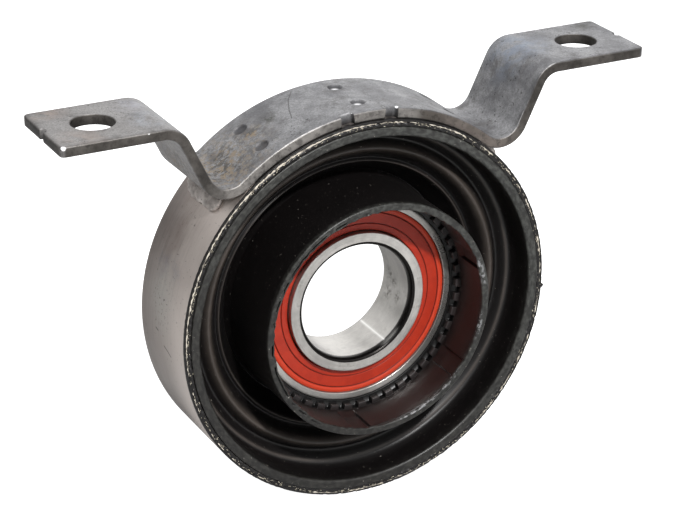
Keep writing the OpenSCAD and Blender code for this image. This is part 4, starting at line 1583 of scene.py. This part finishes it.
def make_ground_steel():
    """Ground bearing steel: hairlines, handling smudges, stains, painted shade, and painted highlights in the
    bore and bevel.
    """
    material, tree, shader = start_material("ground_steel_look", Specular_IOR_Level=0.5)
    skin = use_group(tree, weathering, Blotch_Scale=110, Speck_Scale=900, Speck_Share=0.12, Grain_Scale=3000)
    rings = use_group(tree, turning, Fineness=4200, Drift=2)["Rings"]
    point = place(tree)
    shade, dull, ring_highlight = (painted(tree, name) for name in ("shade", "dull", "ring_highlight"))
    hairlines = mask(tree, rings, low=0.45, high=0.7)
    smudge = patches(tree, point, scale=240, detail=5, roughness=0.7, low=0.56, high=0.7)
    broken = patches(tree, point, scale=700, detail=4, roughness=0.7, low=0.4, high=0.62)
    stain = times(tree, either(tree, [spot(tree, point, *where) for where in BORE_STAINS]), broken)
    steel = coats(tree, blotched(tree, skin, (186, 183, 179), (216, 213, 208)),
                  (hairlines, (140, 139, 136), 0.25), (smudge, (118, 114, 110), 0.4),
                  (skin["Speck"], (96, 92, 88), 0.4), (dull, (236, 234, 230), 0.15),
                  (stain, (96, 90, 84), 0.85), (shade, (34, 32, 31), 1), (ring_highlight, (250, 249, 246), 0.9))
    rough = ramp(tree, skin["Blotch"], start=0.32, rise=0.1)
    dress(tree, shader, Base_Color=steel, Metallic=ramp(tree, dull, start=0.9, rise=-0.3),
          Roughness=ramp(tree, shade, start=rough, rise=-0.16),
          Normal=bumped(tree, rings, depth=0.02, strength=0.5))
    return material


ground_steel = make_ground_steel()
settle(outer_ring, "carrier", ground_steel, "ground_steel", "bearing_outer_ring")
settle(inner_ring, "inner_ring", ground_steel, "ground_steel", "bearing_inner_ring")

# %% [markdown]
# The seals are orange-red rubber discs, one on each face. The front one is the brightest
# thing on the part: a raised rim outside, then a flat ring, with two fine moulded grooves.
# The outline gives the grooves and the rim as real steps.

# %% Seals
SEAL_TURNS = 256
seal_inner_r = inner_land_r + 0.3
seal_outer_r = front_high[0]
seal_groove_rs = (27.08, 23.75)
seal_groove_half = 0.34 / 2
seal_groove_depth = 0.3
seal_rim_rise = 0.22
seal_inner_bevel = 0.25
seal_outer_bevel = 0.2
groove_shade_reach = 0.16
rim_start = 0.15
rim_fade = 0.2


def seal_outline(face, back):
    """Seal section: a face line with two grooves and a rounded rim outside, and a flat back."""
    face_start = seal_inner_r + seal_inner_bevel
    face_stop = seal_outer_r - seal_outer_bevel
    radius = crowded(face_start, face_stop, seal_groove_rs, count=110, reach=0.4, crowd=6)
    inward = np.sign(back - face)
    groove = sum(hill(radius, middle, seal_groove_half, power=4) for middle in seal_groove_rs)
    rim_share = np.clip((radius - seal_groove_rs[0]) / (seal_outer_r - seal_groove_rs[0]), 0, 1)
    rim = np.sin(np.pi * rim_share) * seal_rim_rise
    line = np.stack([radius, face + inward * (seal_rim_rise + seal_groove_depth * groove - rim)], axis=1)
    inner_side = [(seal_inner_r, face + inward * (seal_rim_rise + seal_inner_bevel))]
    outer_side = [(seal_outer_r, face + inward * (seal_rim_rise + seal_outer_bevel)),
                  (seal_outer_r, back), (seal_inner_r, back)]
    return np.concatenate([inner_side, line, outer_side])


def make_seal(name, face, back):
    """A turned seal, with painted light on its rim and painted shade in its grooves and at its outer edge, by
    radius.
    """
    seal = mesh_piece(name, [turned(seal_outline(face, back), SEAL_TURNS)])
    radius = shaft_radius(mesh_points(seal))
    dark_lines = (*seal_groove_rs, seal_outer_r)
    # Painted light on the rim, and painted shade in the grooves and at the outer edge.
    paint(seal, "rim", np.clip((radius - seal_groove_rs[0] - rim_start) / rim_fade, 0, 1))
    in_groove = sum(hill(radius, middle, groove_shade_reach, power=4) for middle in dark_lines)
    paint(seal, "groove", np.clip(in_groove, 0, 1))
    return seal


front_seal = make_seal("front_seal_skin", front_low[1], front_high[1])
rear_seal = make_seal("rear_seal_skin", rear_high[1], rear_low[1])
print("seals reach", round(seal_outer_r, 2), "mm out")

# %% Seal finish
def make_red_seal():
    """Orange-red rubber: lighter on the rim as painted light, dark in the grooves as painted shade, with
    faint dust and a soft sheen.
    """
    material, tree, shader = start_material("red_seal_look", Specular_IOR_Level=0.4)
    skin = use_group(tree, weathering, Blotch_Scale=120, Speck_Scale=1400, Speck_Share=0.1, Grain_Scale=3200)
    red = coats(tree, blotched(tree, skin, (146, 33, 12), (163, 41, 17)),
                (painted(tree, "rim"), (178, 52, 26), 1), (painted(tree, "groove"), (70, 16, 12), 0.8),
                (skin["Speck"], (226, 176, 160), 0.35))
    dress(tree, shader, Base_Color=red, Roughness=ramp(tree, skin["Grain"], start=0.38, rise=0.2),
          Normal=bumped(tree, skin["Grain"], depth=0.03, strength=0.4))
    return material


red_seal = make_red_seal()
settle(front_seal, "carrier", red_seal, "red_seal", "front_seal")
settle(rear_seal, "carrier", red_seal, "red_seal", "rear_seal")

# %% [markdown]
# Two weld beads close the wedge between strap and drum on each side. A bead is a finger
# of metal that froze in ripples. Its section is an oval that swells and thins along the
# seam, so the bead is one grid: along the seam, and round the oval.

# %% Weld beads
BEAD_ROWS = 90
BEAD_SIDES = 48
BEAD_BLUNTNESS = 5
weld_low, weld_high = node_box("weld_beads")
bead_angle = np.radians(47.6)
bead_lean = np.radians(0.9)
bead_half_height = 2.1
bead_half_width = 3.3
bead_sink = 0.3
ripple_pitch = 1.3
ripple_height = 0.02
ripple_bow = 0.5
swell_height = 0.06
swell_length = 2.1
lump_height = 0.09
lump_counts = (3, 2)
lump_drifts = (0.7, 0.9)
sway = 0.3
sway_length = 3.0


def weld_bead(side):
    """Oval rings along Y that close to a point at both ends, lifted by ripples, swells and lumps."""
    along = np.linspace(-1, 1, BEAD_ROWS)[:, None]
    turn = np.linspace(0, 2 * np.pi, BEAD_SIDES, endpoint=False)
    close = np.sqrt(np.clip(1 - np.abs(along) ** BEAD_BLUNTNESS, 0, 1))
    y = (weld_low[1] + weld_high[1]) / 2 + along * (weld_high[1] - weld_low[1]) / 2
    ripple = ripple_height * np.sin(2 * np.pi * (y + ripple_bow * np.cos(turn)) / ripple_pitch)
    swell = swell_height * np.sin(y / swell_length + side)
    lumps = lump_height * np.sin(lump_counts[0] * turn + lump_drifts[0] * y)
    lumps = lumps * np.cos(lump_counts[1] * turn + lump_drifts[1] * y + side)
    size = close * (1 + ripple + swell + lumps)
    out = shell_r + bead_sink + bead_half_height * size * np.sin(turn)
    sideways = bead_half_width * size * np.cos(turn) + sway * np.sin(y / sway_length)
    angle = bead_angle - bead_lean * along + sideways / shell_r
    return round_shaft(out, side * angle, y), False, True


def make_weld_metal():
    """Bare weld metal: pale blotches and dark specks, rough and a little shiny."""
    material, tree, shader = start_material("weld_metal_look", Specular_IOR_Level=0.5, Metallic=0.35)
    skin = use_group(tree, weathering, Blotch_Scale=190, Speck_Scale=900, Speck_Share=0.4, Grain_Scale=2600)
    metal = blotched(tree, skin, (158, 150, 145), (214, 207, 202))
    metal = tint(tree, skin["Speck"], metal, (60, 54, 48), strength=0.6)
    dress(tree, shader, Base_Color=metal, Roughness=ramp(tree, skin["Grain"], start=0.38, rise=0.3),
          Normal=bumped(tree, skin["Blotch"], depth=0.12, strength=0.6))
    return material


weld_beads = mesh_piece("weld_beads_skin", [weld_bead(-1), weld_bead(1)])
close_poles(weld_beads)
settle(weld_beads, "housing", make_weld_metal(), "weld_metal", "weld_beads")

# %% [markdown]
# Behind the seals run eleven balls in a riveted cage. Nobody sees them until the bearing is
# taken apart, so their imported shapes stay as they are, and only get a finish.

# %% Balls and cage
def make_bright_steel(name, fair, deep, roughness):
    """Plain bright steel with a soft change of tone and a fine grain in its shine."""
    material, tree, shader = start_material(name, Specular_IOR_Level=0.5, Metallic=1.0)
    skin = use_group(tree, weathering, Blotch_Scale=200, Speck_Scale=1600, Speck_Share=0.1, Grain_Scale=4000)
    dress(tree, shader, Base_Color=blotched(tree, skin, deep, fair),
          Roughness=ramp(tree, skin["Grain"], start=roughness, rise=0.1))
    return material


ball_steel = make_bright_steel("ball_steel_look", fair=(214, 214, 214), deep=(196, 196, 197), roughness=0.06)
cage_steel = make_bright_steel("cage_steel_look", fair=(176, 174, 168), deep=(142, 140, 134), roughness=0.32)
hidden = {"ball": ball_steel, "front": cage_steel, "rear": cage_steel, "cage": cage_steel}
for name, packed in frame["nodes"].items():
    if packed.hide_render:
        continue
    packed.data.materials.clear()
    packed.data.materials.append(hidden[name.split("_")[0]])
    print(name, "keeps its packed shape")

# %% [markdown]
# The stage is a white floor under soft light, as for a catalogue picture. One small lamp
# high in front gives the clear shadow edge inside the sleeve, large panels above, behind
# and in front fill the tops and sides, and the white surroundings do the rest. The camera
# stands where the picture was taken: its angles and distance were worked out from the
# part's own circles.

# %% Floor and light
FLOOR_HALF = 4000.0
FLOOR_GLOW = 0.97
WORLD_STRENGTH = 0.3
WHITE = (1, 1, 1, 1)
object_centre = np.array([0, 0, 4.0])
LAMPS = {"key_lamp": dict(towards=(-0.08, -0.71, 0.70), distance=1300, size=60, watts=22.0),
         "top_panel": dict(towards=(0.1, 0.25, 1.0), distance=1300, size=1500, watts=4.1),
         "back_panel": dict(towards=(0.5, 0.8, 0.35), distance=1200, size=900, watts=2.9),
         "front_panel": dict(towards=(0.45, -0.85, 0.4), distance=1500, size=1300, watts=5.0),
         "left_panel": dict(towards=(-0.3, 0.8, 0.48), distance=1200, size=800, watts=1.5)}


def make_floor():
    """A flat sheet under the drum, far wider than the view: white to the camera, greyer as a mirror image."""
    ends = (-FLOOR_HALF * MM, FLOOR_HALF * MM)
    corners = [(x, y, shell_low[2] * MM) for x in ends for y in ends]
    mesh = bpy.data.meshes.new("floor")
    mesh.from_pydata(corners, [], [(0, 2, 3, 1)])
    floor = bpy.data.objects.new("floor", mesh)
    bpy.context.scene.collection.objects.link(floor)
    material, tree, shader = start_material("floor_white", Roughness=0.9, Specular_IOR_Level=0.2,
                                            Emission_Color=WHITE)
    soft = noise(tree, place(tree), scale=3, detail=2, roughness=0.5)
    seen = add_node(tree, "ShaderNodeLightPath").outputs["Is Camera Ray"]
    dress(tree, shader, Base_Color=tint(tree, soft, (190, 190, 190), (196, 196, 196)),
          Emission_Strength=times(tree, seen, FLOOR_GLOW))
    mesh.materials.append(material)


def unit(vector):
    """The vector at a length of one."""
    return vector / np.linalg.norm(vector)


def stand(name, data, right, above, back, at):
    """Sets up a lamp or camera that looks along minus back, at a place in millimetres."""
    matrix = np.eye(4)
    matrix[:3, :3] = np.stack([right, above, back], axis=1)
    matrix[:3, 3] = at * MM
    made = bpy.data.objects.new(name, data)
    made.matrix_world = Matrix(matrix.tolist())
    bpy.context.scene.collection.objects.link(made)
    return made


def lamp(name, towards, distance, size, watts):
    """A square lamp that stands in the given direction and looks at the part."""
    data = bpy.data.lights.new(name, "AREA")
    data.size = size * MM
    data.energy = watts
    back = unit(np.array(towards))
    side = unit(np.cross([0.0, 1.0, 0.0], back))
    stand(name, data, side, np.cross(back, side), back, object_centre + back * distance)


make_floor()
for name, values in LAMPS.items():
    lamp(name, **values)
world = bpy.data.worlds.new("studio")
world.use_nodes = True
world.node_tree.nodes["Background"].inputs["Color"].default_value = WHITE
world.node_tree.nodes["Background"].inputs["Strength"].default_value = WORLD_STRENGTH
bpy.context.scene.world = world
bpy.context.scene.view_settings.view_transform = "Standard"
print("lit by", list(LAMPS))

# %% Camera
camera_azimuth = np.radians(-27.67)
camera_elevation = np.radians(23.90)
camera_roll = np.radians(0.29)
camera_distance = 648.1
camera_target = np.array([-6.377, -15.0, 16.687])
camera_data = bpy.data.cameras.new("camera")
camera_data.lens = 119.0
camera_data.sensor_width = 36.0
camera_data.clip_start = 0.01
camera_data.clip_end = 20.0

back = np.array([np.sin(camera_azimuth) * np.cos(camera_elevation),
                 -np.cos(camera_azimuth) * np.cos(camera_elevation), np.sin(camera_elevation)])
level = unit(np.cross(-back, [0, 0, 1.0]))
upright = np.cross(level, -back)
right = np.cos(camera_roll) * level + np.sin(camera_roll) * upright
above = np.cos(camera_roll) * upright - np.sin(camera_roll) * level
camera_at = camera_target + back * camera_distance
bpy.context.scene.camera = stand("camera", camera_data, right, above, back, camera_at)
print("camera stands at", np.round(camera_at * MM, 4))

bpy.context.view_layer.update()
